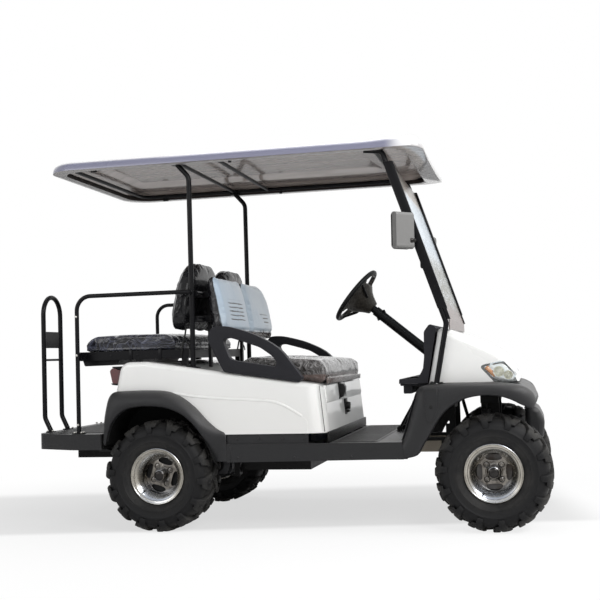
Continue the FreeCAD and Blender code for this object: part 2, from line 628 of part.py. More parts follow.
def rocker():
    """Left sill cover: outer skirt, bottom return and the flange under the floor's edge."""
    z_low, z_top = 340.0, FLOOR_Z - SEAT
    rear, front = 357.0, WHEELBASE - 388.0
    skirt = sketch([(rear, z_low), (front - 10, z_low + 10), (front - 36, z_top), (rear, z_top)])
    pieces = [across(skirt, BODY_HALF - 8, BODY_HALF)]
    pieces.append(box(rear, front - 30, BODY_HALF - 50, BODY_HALF - 4, z_low + 8, z_low + 13))
    flange_z = FLOOR_Z - FLOOR_T - SEAT
    pieces.append(box(rear, front - 60, BODY_HALF - 60, BODY_HALF - 4, RAIL_Z[1] + SEAT, flange_z))
    wall = BODY_HALF - SHOULDER - SKIN - SEAT
    pieces.append(box(rear, SEAT_FRONT_X - 70, wall - 5, wall, z_top - 10, SILL_Z + 30))
    return fuse(*pieces)


def raised_mat(x0, x1, half, z):
    """Tread field that stands proud of a floor, with rounded corners."""
    corners = both_halves([(x1, half, 30), (x0, half, 30)])
    return plan_face(corners, z - 1).extrude(V(0, 0, MAT_T + 1))


def floor_pan():
    """Ribbed floor between seat base and fenders, with the sloping toe board between them."""
    x0, x1 = SEAT_FRONT_X + 32, WHEELBASE - 428.0
    toe_half = FENDER_IN - SEAT
    pieces = [box(x0, x1, 10 - BODY_HALF, BODY_HALF - 10, FLOOR_Z - FLOOR_T, FLOOR_Z)]
    toe = sketch([(x1 - 1, FLOOR_Z - FLOOR_T), (x1 + 16, FLOOR_Z - FLOOR_T), (x1 + 84, 684),
                  (x1 + 78, 686), (x1 + 12, FLOOR_Z), (x1 - 1, FLOOR_Z)])
    pieces.append(across(toe, -toe_half, toe_half))
    for y, a, b in ((RAIL_Y, x0, RAIL_STEP - 70), (NOSE_RAIL_Y, RAIL_STEP - 60, x1 - 14)):
        for side in (1, -1):
            pieces.append(box(a, b, side * y - 20, side * y + 20, RAIL_Z[1] + SEAT,
                              FLOOR_Z - FLOOR_T + 1))
    pieces.append(raised_mat(x0 + 12, PEDAL_X - 24, BODY_HALF - 40, FLOOR_Z))
    return fuse(*pieces)


def cowl_solid(depth):
    """The bonnet's outer form, drawn in by a depth."""
    half = COWL_HALF - depth
    solid = across(sketch(inset(COWL, depth)), -half, half)
    top = [e for y in (half, -half) for e in level_edges(solid, y)
           if e.BoundBox.XMin > COWL[1][0] + 4 and e.BoundBox.ZMax > COWL_FOOT + 16]
    return solid.makeFillet(45 - depth * 0.9, top)


def front_cowl():
    """White bonnet shell over the front axle, open below and at the headlights."""
    shell = cowl_solid(0.0).cut(cowl_solid(SKIN))
    shell = shell.cut(box(COWL[0][0] + 10, COWL[-1][0] - 10, SKIN - COWL_HALF, COWL_HALF - SKIN,
                          FENDER_TOP - 4, FENDER_TOP + 8))
    shell = shell.cut(rod(on_column(480), on_column(JOINT_T), COLUMN_R + 3))
    for side in (1, -1):
        shell = shell.cut(across(sketch(HEADLIGHT), side * LAMP_IN, side * (COWL_HALF + 92)))
    return shell


def headlight():
    """Left headlight: a lens flush with the bonnet's corner and a shallow body behind it."""
    thick = cowl_solid(0.0).cut(cowl_solid(26.0))
    return thick.common(across(sketch(inset(HEADLIGHT, SEAT)), LAMP_IN + SEAT, COWL_HALF + 92))


def front_fender():
    """Left front fender, running down past the cowl's side to the sill."""
    y0 = FENDER_IN
    outer = across(sketch(FENDER), y0, FENDER_HALF)
    top = [e for e in level_edges(outer, FENDER_HALF) if e.BoundBox.ZMax > 700]
    outer = outer.makeFillet(26, top)
    inner = across(sketch(inset(FENDER, SKIN)), y0 - 1, FENDER_HALF - SKIN)
    return outer.cut(inner)


def front_bumper():
    """Centre nose under the bonnet, between the wheels' sweep."""
    half, round_r = 225.0, 28.0
    rear, nose = RAIL_NOSE + SEAT, RAIL_NOSE + 96
    corners = [(rear, 380), (rear, 575, 10), (nose - 28, 562, 45), (nose, 500, 60),
               (nose - 6, 420, 40), (nose - 46, 380, 30)]
    shells = []
    for depth in (0.0, SKIN):
        solid = across(sketch(inset(corners, depth)), -half + depth, half - depth)
        front = [e for y in (half - depth, depth - half) for e in level_edges(solid, y)
                 if e.BoundBox.XMax > nose - 46 and e.BoundBox.XMin > rear + 15]
        shells.append(solid.makeFillet(round_r - depth, front))
    return shells[0].cut(shells[1])


def deck_z(x):
    """Height of the rear body's sloping top at a place along the car."""
    (x0, z0), (x1, z1) = REAR_BODY[3][:2], REAR_BODY[4][:2]
    return z0 + (x - x0) * (z1 - z0) / (x1 - x0)


# --- dash, steering and pedals --------------------------------------------------------------
DASH_FACE_X = WHEELBASE - 315.0
DASH = at_front((-253, 972, 8), (-282, 994, 14), (-312, 955, 24), (-315, 830, 60), (-322, 775, 30),
                (-348, 728, 8), (-440, 727, 6), (-442, 692, 6), (-310, 690, 6), (-300, 712, 4))
DASH_HALF = COWL_HALF - 20.0


def dashboard():
    """Padded dash moulding with its parcel shelf and the switch box below."""
    dash = across(sketch(DASH), -DASH_HALF, DASH_HALF)
    for y0, y1 in ((-DASH_HALF + 30, -60), (60, 180), (320, DASH_HALF - 30)):
        dash = dash.cut(box(DASH_FACE_X - 113, DASH_FACE_X - 39, y0, y1, 702, 760))
    switches = across(sketch(at_front((-427, 693), (-427, 653, 6), (-384, 653, 6), (-384, 693))),
                      -430, 60)
    for side in (1, -1):
        ys = sorted((side * (FENDER_IN - SEAT), side * (DASH_HALF + 1)))
        dash = dash.cut(box(DASH_FACE_X - 135, DASH_FACE_X + 25, *ys, 600, FENDER_TOP + SEAT))
    dash = dash.cut(rod(on_column(480), on_column(JOINT_T), COLUMN_R + SEAT))
    return fuse(dash, switches)


def steering_wheel():
    """Three-spoke wheel with a dished hub, its axis along the column."""
    ring = Part.makeTorus(STEER_R, STEER_TUBE_R)
    dish, hub_r = -62.0, 36.0
    hub = Part.makeCylinder(hub_r, 34, V(0, 0, dish - 10))
    boss = Part.makeCone(24, 20, 34, V(0, 0, dish - 42))
    pieces = [ring, hub, boss]
    for angle in (60, 180, 300):
        spoke = tube([(0, 0, dish), (hub_r + 34, 0, dish), (STEER_R, 0, 0)], 8, 40)
        spoke.rotate(V(0, 0, 0), V(0, 0, 1), angle)
        pieces.append(spoke)
    wheel = fuse(*pieces)
    wheel.rotate(V(0, 0, 0), V(0, 1, 0), -(90.0 - COLUMN_TILT))
    return wheel.translated(V(*WHEEL_CENTRE))


def on_pinion(length):
    """Point on the lower shaft, a length above the rack."""
    foot = V(RACK_X + PINION[0], PINION[1], RACK_Z)
    return foot + (V(*on_column(JOINT_T)) - foot).normalize() * length


def steering_column():
    """Column tube through the dash, its shroud, the lower joint and the shaft to the rack."""
    foot_t = (DASH_FACE_X - SEAT - WHEEL_CENTRE[0]
              - SHROUD_R * math.sin(math.radians(COLUMN_TILT))) / -COLUMN_DIR[0]
    start_t = 62.0 + 42.0 + SEAT
    column = rod(on_column(start_t), on_column(JOINT_T), COLUMN_R)
    shroud = rod(on_column(start_t + 36), on_column(foot_t), SHROUD_R)
    joint = Part.makeSphere(COLUMN_R + 2, V(*on_column(JOINT_T)))
    shaft = rod(on_pinion(PINION_LONG + SEAT), on_column(JOINT_T), 9)
    return fuse(column, shroud, joint, shaft)


def pedals():
    """Brake and accelerator pads on one cross pin in front of the toe board."""
    pin_x, pin_z = PEDAL_X, 452.0
    pieces = [rod((pin_x, 90, pin_z), (pin_x, 400, pin_z), 7)]
    for y in (100, 250, 390):
        pieces.append(box(pin_x - 14, pin_x + 14, y - 4, y + 4, FLOOR_Z + SEAT, pin_z))
    for y0, y1 in ((130, 220), (290, 350)):
        pad = sketch([(pin_x - 6, pin_z), (pin_x + 4, pin_z - 6), (pin_x + 80, 578, 4),
                      (pin_x + 72, 584, 4)])
        pieces.append(across(pad, y0, y1))
    return fuse(*pieces)


# --- seats ----------------------------------------------------------------------------------
SEAT_BEAM_Z = (862.0, 908.0)
BACK_HALF = SEAT_HALF - 12.0
FRONT_CUSHION = [(396, deck_z(396) + SEAT, 10), (396, 884, 45), (868, 846, 40),
                 (868, deck_z(868) + SEAT, 8)]
REAR_CUSHION = [(-440, SEAT_BEAM_Z[1] + SEAT, 10), (-440, 1000, 40), (86, 1000, 30),
                (86, SEAT_BEAM_Z[1] + SEAT, 10)]
FRONT_BACK = [(262, 960, 25), (356, 960, 30), (294, 1286, 36), (232, 1286, 26)]
REAR_BACK = [(128, 1016, 20), (36, 1016, 30), (18, 1080, 60), (120, 1362, 26), (186, 1362, 26)]


def cushion(corners, half, round_r=18):
    """Plain closed cushion with softened ends."""
    solid = across(sketch(corners), -half, half)
    ends = [e for y in (half, -half) for e in level_edges(solid, y)]
    return solid.makeFillet(round_r, ends) if round_r else solid


def lid_hinge():
    """Pin along the front of the seat base, on lugs that stand on the body."""
    x, z = LID_PIN
    pieces = [rod((x, LUG_Y[0] - 30, z), (x, LUG_Y[-1] + 30, z), LID_PIN_R)]
    rear, front = x - 84, x - 48
    lug = sketch([(rear, deck_z(rear) + SEAT), (rear, deck_z(rear) + 12, 4), (x + 8, z + 8, 7),
                  (x + 8, z - 8, 7), (front, deck_z(front) + SEAT)])
    for y in LUG_Y:
        pieces.append(across(lug, y - 8, y + 8))
    return fuse(*pieces)


def front_cushion():
    """Front bench cushion, bored for its hinge pin and notched round the pin's lugs."""
    x, z = LID_PIN
    pad = cushion(FRONT_CUSHION, SEAT_HALF)
    pad = pad.cut(rod((x, LUG_Y[0] - 32, z), (x, LUG_Y[-1] + 32, z), LID_PIN_R + 0.4))
    for y in LUG_Y:
        pad = pad.cut(box(x - 90, x + 30, y - 13, y + 13, z - 30, z + 20))
    return pad


def seat_pair(corners):
    """Two separate backrest pads, left and right of the middle."""
    inner_y = 12.0
    pad = cushion(corners, (BACK_HALF - inner_y) / 2, 0)
    pad = pad.translated(V(0, (BACK_HALF + inner_y) / 2, 0))
    return [pad, mirrored(pad)]


def side_x(a, b, z):
    """X on the straight line between two corners at a height."""
    return a[0] + (b[0] - a[0]) * (z - a[1]) / (b[1] - a[1])


def seat_back_frame():
    """Cross tubes between the canopy struts and the brackets that hold both backrests."""
    pieces, levels, half_z = [], (1062.0, 1190.0), 16.0
    bar_x, reach = STRUT_X + 20, STRUT_HALF - POST_R - SEAT
    for z in levels:
        pieces.append(rod((bar_x, -reach, z), (bar_x, reach, z), 11))
        rear_x = [side_x(REAR_BACK[0], REAR_BACK[-1], h) + SEAT for h in (z - half_z, z + half_z)]
        front_x = [side_x(FRONT_BACK[0], FRONT_BACK[-1], h) - SEAT for h in (z - half_z, z + half_z)]
        bracket = sketch([(rear_x[0], z - half_z), (front_x[0], z - half_z),
                          (front_x[1], z + half_z), (rear_x[1], z + half_z)])
        for y in (108 - BACK_HALF, -130, 130, BACK_HALF - 108):
            pieces.append(across(bracket, y - 18, y + 18))
    for y in (-300, 300):
        pieces.append(box(bar_x - 8, bar_x + 8, y - 12, y + 12, deck_z(bar_x - 8) + SEAT, levels[1]))
    return fuse(*pieces)


def rear_seat_frame():
    """Side and cross beams under the rear cushion, its legs and the pan beneath."""
    z0, z1 = SEAT_BEAM_Z
    pieces = []
    for side in (1, -1):
        ys = sorted((side * (SEAT_HALF - 50), side * (SEAT_HALF - 20)))
        pieces.append(box(-462, 140, *ys, z0, z1))
        pieces.append(box(100, 128, *ys, deck_z(100) + SEAT, z0 + 2))
        pieces.append(box(-150, -122, *ys, REAR_BODY[2][1] + SEAT + 0.1, z0 + 2))
    for x in (GRAB_X - 15, -160.0, 110.0):
        reach = GRAB_HALF - GRAB_R - SEAT if x < GRAB_X else SEAT_HALF - 40
        pieces.append(box(x, x + 30, -reach, reach, z0, z1 - 4))
    pan = sketch([(-458, z0 + 1), (-448, 834, 8), (-270, 838, 8), (-252, z0 + 1)])
    pieces.append(across(pan, 54 - SEAT_HALF, SEAT_HALF - 54))
    return fuse(*pieces)


ARMREST = [(340, deck_z(340) + SEAT), (266, 962, 20), (292, 1016, 30), (352, 1022, 60), (450, 990, 200),
           (562, 938, 200), (652, 872, 120), (764, 744, 18), (736, deck_z(736) + SEAT)]
ARM_HOLE = [(398, 848, 20), (368, 926, 30), (404, 950, 30), (476, 926, 120), (624, 842, 10),
            (614, 812, 8), (446, 838, 60)]


def armrest():
    """Left moulded armrest loop, standing on the body's top edge."""
    y0, y1, round_r = BODY_HALF - 44.0, BODY_HALF + 4.0, 8.0
    solid = across(sketch(ARMREST), y0, y1).cut(across(sketch(ARM_HOLE), y0 - 1, y1 + 1))
    above = [e for y in (y0, y1) for e in level_edges(solid, y) if e.BoundBox.ZMax > 800]
    return solid.makeFillet(round_r, above)


# --- rear deck and grab tubes ---------------------------------------------------------------
DECK_HALF = BODY_HALF + 22.0
DECK_PLAN = [(-246, 376), (-296, 376), (-296, DECK_HALF, 12), (-450, DECK_HALF, 120),
             (-690, DECK_HALF - 102, 60)]
DECK_DEPTH = 80.0


def both_halves(corners):
    """Corners of a left half, carried on round the right half."""
    return list(corners) + [(c[0], -c[1]) + tuple(c[2:]) for c in reversed(corners)]


def plan_face(corners, z):
    """Closed face at a level, from the (x, y, radius) corners of its left half."""
    flat = sketch(corners)
    flat.rotate(V(0, 0, 0), V(1, 0, 0), -90)
    return flat.translated(V(0, 0, z))


def rear_footrest():
    """Rear footrest: tread plate, deep skirt, stiffening ribs and the splash pan ahead of it."""
    low = DECK_Z - DECK_DEPTH
    corners = both_halves(DECK_PLAN)
    outer = plan_face(corners, low).extrude(V(0, 0, DECK_DEPTH))
    inner = plan_face(inset(corners, SKIN), low - 1).extrude(V(0, 0, DECK_DEPTH + 1 - SKIN))
    tray = outer.cut(inner)
    pan = sketch([(-440, 412), (-440, 407), (-330, 372, 60), (-262, 358, 30), (-246, 372),
                  (-251, 374), (-266, 364, 25), (-330, 378, 60)])
    pieces = []
    for side in (1, -1):
        rail_gap = sorted((side * (RAIL_Y - RAIL_W / 2 - 2), side * (RAIL_Y + RAIL_W / 2 + 2)))
        tray = tray.cut(box(-260, -240, *rail_gap, low - 1, RAIL_Z[1] + 2))
        pieces.append(across(pan, *sorted((side * (RAIL_Y + 34), side * (RAIL_Y + 70)))))
        pieces.append(box(-430, -340, *sorted((side * (RAIL_Y + 40), side * (RAIL_Y + 46))), 376,
                          DECK_Z - SKIN + 1))
        pieces.append(box(-682, -300, *sorted((side * (DECK_HALF - 145), side * (DECK_HALF - 139))),
                          low + 4, DECK_Z - SKIN + 1))
    pieces.append(raised_mat(-632, -310, GRAB_HALF - 45, DECK_Z))
    return fuse(tray, *pieces)


def side_grab():
    """Left grab frame: leg from the footrest, top rail, and the stub to the canopy strut."""
    foot_z = DECK_Z + SEAT
    bar = tube([(GRAB_X, GRAB_HALF, foot_z + 3), (GRAB_X, GRAB_HALF, GRAB_TOP),
                (STRUT_X + 12, GRAB_HALF, GRAB_TOP)], GRAB_R, 75.0)
    stub = rod((STRUT_X, GRAB_HALF, GRAB_TOP), (STRUT_X, STRUT_HALF + POST_R + SEAT, GRAB_TOP), 10)
    foot = box(GRAB_X - 28, GRAB_X + 28, GRAB_HALF - 22, GRAB_HALF + 22, foot_z, foot_z + 5)
    return fuse(bar, stub, foot)


HOOP_X, HOOP_Y, HOOP_HALF, HOOP_TOP = -700.0, -325.0, 101.0, 1213.0


def grab_hoop():
    """Upright hoop at the back edge of the footrest, with its back plate and rung."""
    foot_z = DECK_Z + SEAT
    y0, y1 = HOOP_Y - HOOP_HALF, HOOP_Y + HOOP_HALF
    hoop = tube([(-668, y0, foot_z + 9), (HOOP_X, y0, 566), (HOOP_X, y0, HOOP_TOP),
                 (HOOP_X, y1, HOOP_TOP), (HOOP_X, y1, 566), (-668, y1, foot_z + 9)],
                TUBE_R, 60.0, 100.0, 100.0, 60.0)
    feet = [box(-686, -646, y - 20, y + 20, foot_z, foot_z + 5) for y in (y0, y1)]
    stubs = [rod((-668, y, foot_z + 2), (-668, y, foot_z + 14), TUBE_R) for y in (y0, y1)]
    plate = box(HOOP_X - 3, HOOP_X + 3, y0, y1, 938, 1026)
    rung = rod((HOOP_X, y0, 874), (HOOP_X, y1, 874), 6)
    return fuse(hoop, plate, rung, *feet, *stubs)


# --- canopy ---------------------------------------------------------------------------------
ROOF = [(ROOF_REAR, ROOF_RIM_Z + 4), (ROOF_REAR, 1898, 30), (-470, 1934, 250), (380, ROOF_TOP_Z, 3000),
        (ROOF_FRONT - 228, 1926, 500), (ROOF_FRONT - 50, 1898, 120), (ROOF_FRONT, 1845, 50),
        (ROOF_FRONT - 10, 1797, 22), (ROOF_FRONT - 102, 1797, 60),
        (ROOF_FRONT - 228, ROOF_RIM_Z + 4, 300)]
ROOF_LIP = 58.0


def roof_form(depth):
    """The canopy's outer form, drawn in by a depth: side view, plan and end view in common."""
    half = ROOF_HALF - depth
    side = across(sketch(inset(ROOF, depth)), -ROOF_HALF - 5, ROOF_HALF + 5)
    plan = both_halves([(ROOF_FRONT + 5 - depth, half, 230 - depth),
                        (ROOF_REAR + depth, half, 150 - depth)])
    plan = plan_face(plan, 1700).extrude(V(0, 0, 400))
    end = sketch([(-half, 1700), (half, 1700), (half, 1918 - depth, 60 - depth),
                  (0, 1962 - depth, 2500), (-half, 1918 - depth, 60 - depth)])
    end.rotate(V(0, 0, 0), V(0, 0, 1), 90)
    end = end.translated(V(ROOF_REAR - 10, 0, 0)).extrude(V(ROOF_FRONT - ROOF_REAR + 20, 0, 0))
    return side.common(plan).common(end)


def roof_canopy():
    """Moulded canopy: a thin dome with a turned-in rim and a rounded nose."""
    shell = roof_form(0.0).cut(roof_form(SKIN))
    mouth = both_halves([(ROOF_FRONT - 152, ROOF_HALF - ROOF_LIP, 40),
                         (ROOF_REAR + ROOF_LIP, ROOF_HALF - ROOF_LIP, 100)])
    return shell.cut(plan_face(mouth, 1700).extrude(V(0, 0, 180)))


def roof_frame():
    """Tube loop and cross bars under the canopy, with clips onto its rim."""
    r = 10.0
    z, y, x0, x1 = ROOF_RAIL_Z + 1, STRUT_HALF, ROOF_REAR + 120, ROOF_FRONT - 260
    loop = [tube([(0, y, z), (x1, y, z), (x1, -y, z), (0, -y, z)], r, 80.0, 80.0),
            tube([(0, y, z), (x0, y, z), (x0, -y, z), (0, -y, z)], r, 80.0, 80.0)]
    bars = [rod((x, -y, z), (x, y, z), r) for x in (105.0, 318.0)]
    clips = []
    for x in (x0 + 150, 400.0, x1 - 108):
        for side in (1, -1):
            ys = sorted((side * y, side * (ROOF_HALF - 24)))
            clips.append(box(x - 14, x + 14, *ys, ROOF_RIM_Z + 4 + SKIN + SEAT, ROOF_RAIL_Z + 1))
    return fuse(*loop, *bars, *clips)


def roof_strut():
    """Left rear strut from the body's top to the canopy's frame, with both feet."""
    top_z = ROOF_RAIL_Z + 1 - 10 - SEAT
    foot_z = deck_z(STRUT_X - 24) + SEAT
    post = tube([(STRUT_X, STRUT_HALF, foot_z + 1), (STRUT_X, STRUT_HALF, 1786),
                 (112, STRUT_HALF, top_z - 6)], POST_R, 60.0)
    slope = math.degrees(math.atan2(deck_z(0) - deck_z(100), 100))
    foot = Part.makeBox(64, 44, 5, V(STRUT_X - 32, STRUT_HALF - 22, deck_z(STRUT_X - 32) + SEAT))
    foot.rotate(V(STRUT_X - 32, 0, deck_z(STRUT_X - 32) + SEAT), V(0, 1, 0), slope)
    saddle = box(82, 136, STRUT_HALF - POST_R, STRUT_HALF + POST_R, top_z - 9, top_z)
    trim = box(-200, 600, STRUT_HALF - 130, STRUT_HALF + 170, top_z, top_z + 60)
    return fuse(post, foot, saddle).cut(trim)


# --- windshield -----------------------------------------------------------------------------
POST_KNEE = (WHEELBASE - 197.0, 992.0)
POST_LEAN = 0.332       # run back for each millimetre of height
POST_FOOT_X = WHEELBASE - 259.0
SCREEN_Z = (962.0, 1790.0)
SCREEN_T = 5.0
GLAZING_OUT = POST_R + 1.0      # front of the glazing bars ahead of the posts' middle


def post_x(z, out=0.0):
    """X along the leaning part of the posts, moved out square to it."""
    return POST_KNEE[0] - (z - POST_KNEE[1]) * POST_LEAN + out * math.hypot(1.0, POST_LEAN)


def windshield_post():
    """Left post: from the fender up past the bonnet, along the screen, back to the canopy."""
    foot_z = FENDER_TOP + SEAT
    top_z = ROOF_RAIL_Z + 1 - 10 - SEAT
    post = tube([(POST_FOOT_X, POST_HALF, foot_z - 20), (POST_KNEE[0], POST_HALF, POST_KNEE[1]),
                 (post_x(top_z - 12), POST_HALF, top_z - 12),
                 (POST_KNEE[0] - 373, POST_HALF, top_z - 3)],
                POST_R, 60.0, 30.0)
    foot = box(POST_FOOT_X - 26, POST_FOOT_X + 34, POST_HALF - 18, POST_HALF + 18, foot_z, foot_z + 5)
    z0, z1 = 1080.0, 1740.0
    bar = sketch([(post_x(z0), z0), (post_x(z0, GLAZING_OUT), z0), (post_x(z1, GLAZING_OUT), z1),
                  (post_x(z1), z1)])
    bar = across(bar, POST_HALF - 22, POST_HALF + 9)
    ys = POST_HALF - 130, POST_HALF + 170
    above = box(POST_KNEE[0] - 453, POST_KNEE[0] - 153, *ys, top_z, top_z + 60)
    below = box(POST_KNEE[0] - 153, POST_KNEE[0] + 47, *ys, foot_z - 60, foot_z)
    return fuse(post, foot, bar).cut(above).cut(below)


def windshield():
    """Clear screen in front of the posts, its foot bent upright in front of the bonnet."""
    back, front = GLAZING_OUT + SEAT, GLAZING_OUT + SEAT + SCREEN_T
    z0, z1 = SCREEN_Z
    knee = POST_KNEE[1] + 14
    screen = sketch([(post_x(knee, back), z0), (post_x(knee, back) + SCREEN_T, z0),
                     (post_x(knee, front), knee, 12), (post_x(z1, front), z1),
                     (post_x(z1, back), z1), (post_x(knee, back), knee, 12)])
    return across(screen, -POST_HALF + 6, POST_HALF - 6)


def mirror():
    """Left mirror: a rounded housing on a short arm from the post."""
    arm_z = 1400.0
    housing = across(sketch([(-18, -96, 16), (18, -96, 16), (22, 80, 16), (-14, 80, 14)]), -56, 56)
    housing.rotate(V(0, 0, 0), V(0, 0, 1), 42)
    housing = housing.translated(V(POST_KNEE[0] - 185, POST_HALF + 82, arm_z + 48))
    arm = rod((POST_KNEE[0] - 163, POST_HALF + 70, arm_z), (post_x(arm_z), POST_HALF, arm_z), 9)
    post = rod((post_x(arm_z - 60), POST_HALF, arm_z - 60), (post_x(arm_z + 60), POST_HALF, arm_z + 60),
               POST_R + SEAT)
    return fuse(housing, arm).cut(post)


def tail_light():
    """Left tail light, standing off the body's rear panel."""
    def panel_x(z):
        return side_x(REAR_BODY[1], REAR_BODY[2], z) - SEAT
    lamp = sketch([(panel_x(738), 738), (-252, 742, 12), (-266, 808, 12), (-250, 822, 8),
                   (panel_x(806), 806)])
    return across(lamp, BODY_HALF - 130, BODY_HALF - 34)


# --- assembly -------------------------------------------------------------------------------
def on_both_sides(name, *shapes):
    """Keep left pieces and their mirror images in one node."""
    put(name, *shapes, *[mirrored(shape) for shape in shapes])


def assemble():
    """Fill every node."""
    placed_wheels()
    left_knuckle = knuckle()
    put("knuckle_left", left_knuckle)
    put("knuckle_right", mirrored(left_knuckle))
    put("front_axle", front_axle())
    put("tie_rod", tie_rod())
    on_both_sides("front_springs", leaf_spring(FRONT_SPRING), front_damper())
    put("rear_axle", rear_axle())
    on_both_sides("rear_springs", leaf_spring(REAR_SPRING))
    put("drive_motor", drive_motor())
    sides = chassis_sides()
    put("chassis_frame", *chassis_middle(), *sides, *[mirrored(piece) for piece in sides])
    put("battery_pack", *battery_pack())
    put("floor_pan", floor_pan())
    put("rear_body", rear_body())
    on_both_sides("rear_fender_flares", rear_flare())
    on_both_sides("rocker_panels", rocker())
    put("front_cowl", front_cowl())
    on_both_sides("front_fenders", front_fender())
    put("front_bumper", front_bumper())
    on_both_sides("headlights", headlight())
    on_both_sides("tail_lights", tail_light())
    put("dashboard", dashboard())
    put("steering_wheel", steering_wheel())
    put("steering_column", steering_column())
    put("pedals", pedals())
    put("front_seat_cushion", front_cushion())
    put("rear_seat_cushion", cushion(REAR_CUSHION, SEAT_HALF))
    put("front_seat_backs", *seat_pair(FRONT_BACK))
    put("rear_seat_backs", *seat_pair(REAR_BACK))
    put("seat_frame", rear_seat_frame(), seat_back_frame(), lid_hinge())
    on_both_sides("armrests", armrest())
    put("rear_footrest", rear_footrest())
    on_both_sides("side_grab_frames", side_grab())
    put("grab_hoop", grab_hoop())
    put("roof_canopy", roof_canopy())
    left_strut = roof_strut()
    put("canopy_frame", roof_frame(), left_strut, mirrored(left_strut))
    on_both_sides("windshield_posts", windshield_post())
    put("windshield", windshield())
    on_both_sides("mirrors", mirror())


def export():
    """Centre the model along X and write one STEP file for each node."""
    os.makedirs("parts", exist_ok=True)
    boxes = [shape.BoundBox for shape in NODES.values()]
    middle = (min(b.XMin for b in boxes) + max(b.XMax for b in boxes)) / 2
    print("rear axle lies at X = %.3f mm; %d nodes" % (-middle, len(NODES)))
    for name, shape in NODES.items():
        shape.translated(V(-middle, 0, 0)).exportStep(os.path.join("parts", name + ".step"))


assemble()
export()
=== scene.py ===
"""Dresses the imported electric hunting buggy: studio, viewpoint, finishes and detailed pieces."""

import json
import logging
import math
from dataclasses import dataclass, field
from enum import Enum
from typing import Any, Callable, Mapping, Sequence

import bmesh
import bpy
from mathutils import Matrix, Vector, noise

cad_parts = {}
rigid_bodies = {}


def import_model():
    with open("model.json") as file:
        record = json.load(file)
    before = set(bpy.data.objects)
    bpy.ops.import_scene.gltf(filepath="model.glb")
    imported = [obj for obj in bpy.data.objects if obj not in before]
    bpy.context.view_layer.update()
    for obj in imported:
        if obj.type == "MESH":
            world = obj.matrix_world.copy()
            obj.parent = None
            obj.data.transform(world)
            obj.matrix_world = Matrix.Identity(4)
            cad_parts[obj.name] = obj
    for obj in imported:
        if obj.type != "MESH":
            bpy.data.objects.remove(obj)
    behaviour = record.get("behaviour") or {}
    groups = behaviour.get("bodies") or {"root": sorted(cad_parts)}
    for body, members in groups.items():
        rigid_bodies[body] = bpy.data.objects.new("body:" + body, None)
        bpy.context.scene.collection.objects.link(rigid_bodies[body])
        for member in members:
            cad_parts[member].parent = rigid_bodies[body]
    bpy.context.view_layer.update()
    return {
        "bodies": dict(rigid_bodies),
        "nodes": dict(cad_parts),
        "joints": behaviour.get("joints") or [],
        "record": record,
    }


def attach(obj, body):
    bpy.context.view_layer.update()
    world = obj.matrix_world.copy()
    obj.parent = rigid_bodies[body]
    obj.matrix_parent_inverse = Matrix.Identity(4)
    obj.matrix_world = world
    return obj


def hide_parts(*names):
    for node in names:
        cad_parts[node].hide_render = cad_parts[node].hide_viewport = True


log = logging.getLogger("buggy")
Colour = tuple[float, float, float]
Point = Sequence[float]
Number = "Wire | float"
Seam = Callable[[Vector], float]
MILLI = 0.001
FAR = 1e4
WELD = 0.01
TOUCH = 0.1
NO_SEAM = 99.0
ACROSS = Matrix.Scale(-1.0, 4, (0, 1, 0))


def part_way(value: float, start: float, end: float) -> float:
    """How far a value has come from `start` to `end`, kept within 0 and 1."""
    return min(max((value - start) / (end - start), 0.0), 1.0)


def turned_by(degrees: float, size: int = 4) -> Matrix:
    """Turn about the Y axis."""
    return Matrix.Rotation(math.radians(degrees), size, "Y")


def eased(part: float) -> float:
    """Smooth step of a part between 0 and 1."""
    return part * part * (3 - 2 * part)


def added(name: str, data: bpy.types.ID) -> bpy.types.Object:
    """Make an object and put it in the scene.

    Args:
        name: its name.
        data: its mesh, light, camera or curve.

    Returns:
        The object.
    """
    made = bpy.data.objects.new(name, data)
    bpy.context.scene.collection.objects.link(made)
    return made


def tree_of(owner: bpy.types.Material | bpy.types.World) -> "Graph":
    """Turn on a material's or a world's nodes and empty its tree."""
    owner.use_nodes = True
    return Graph(owner.node_tree)


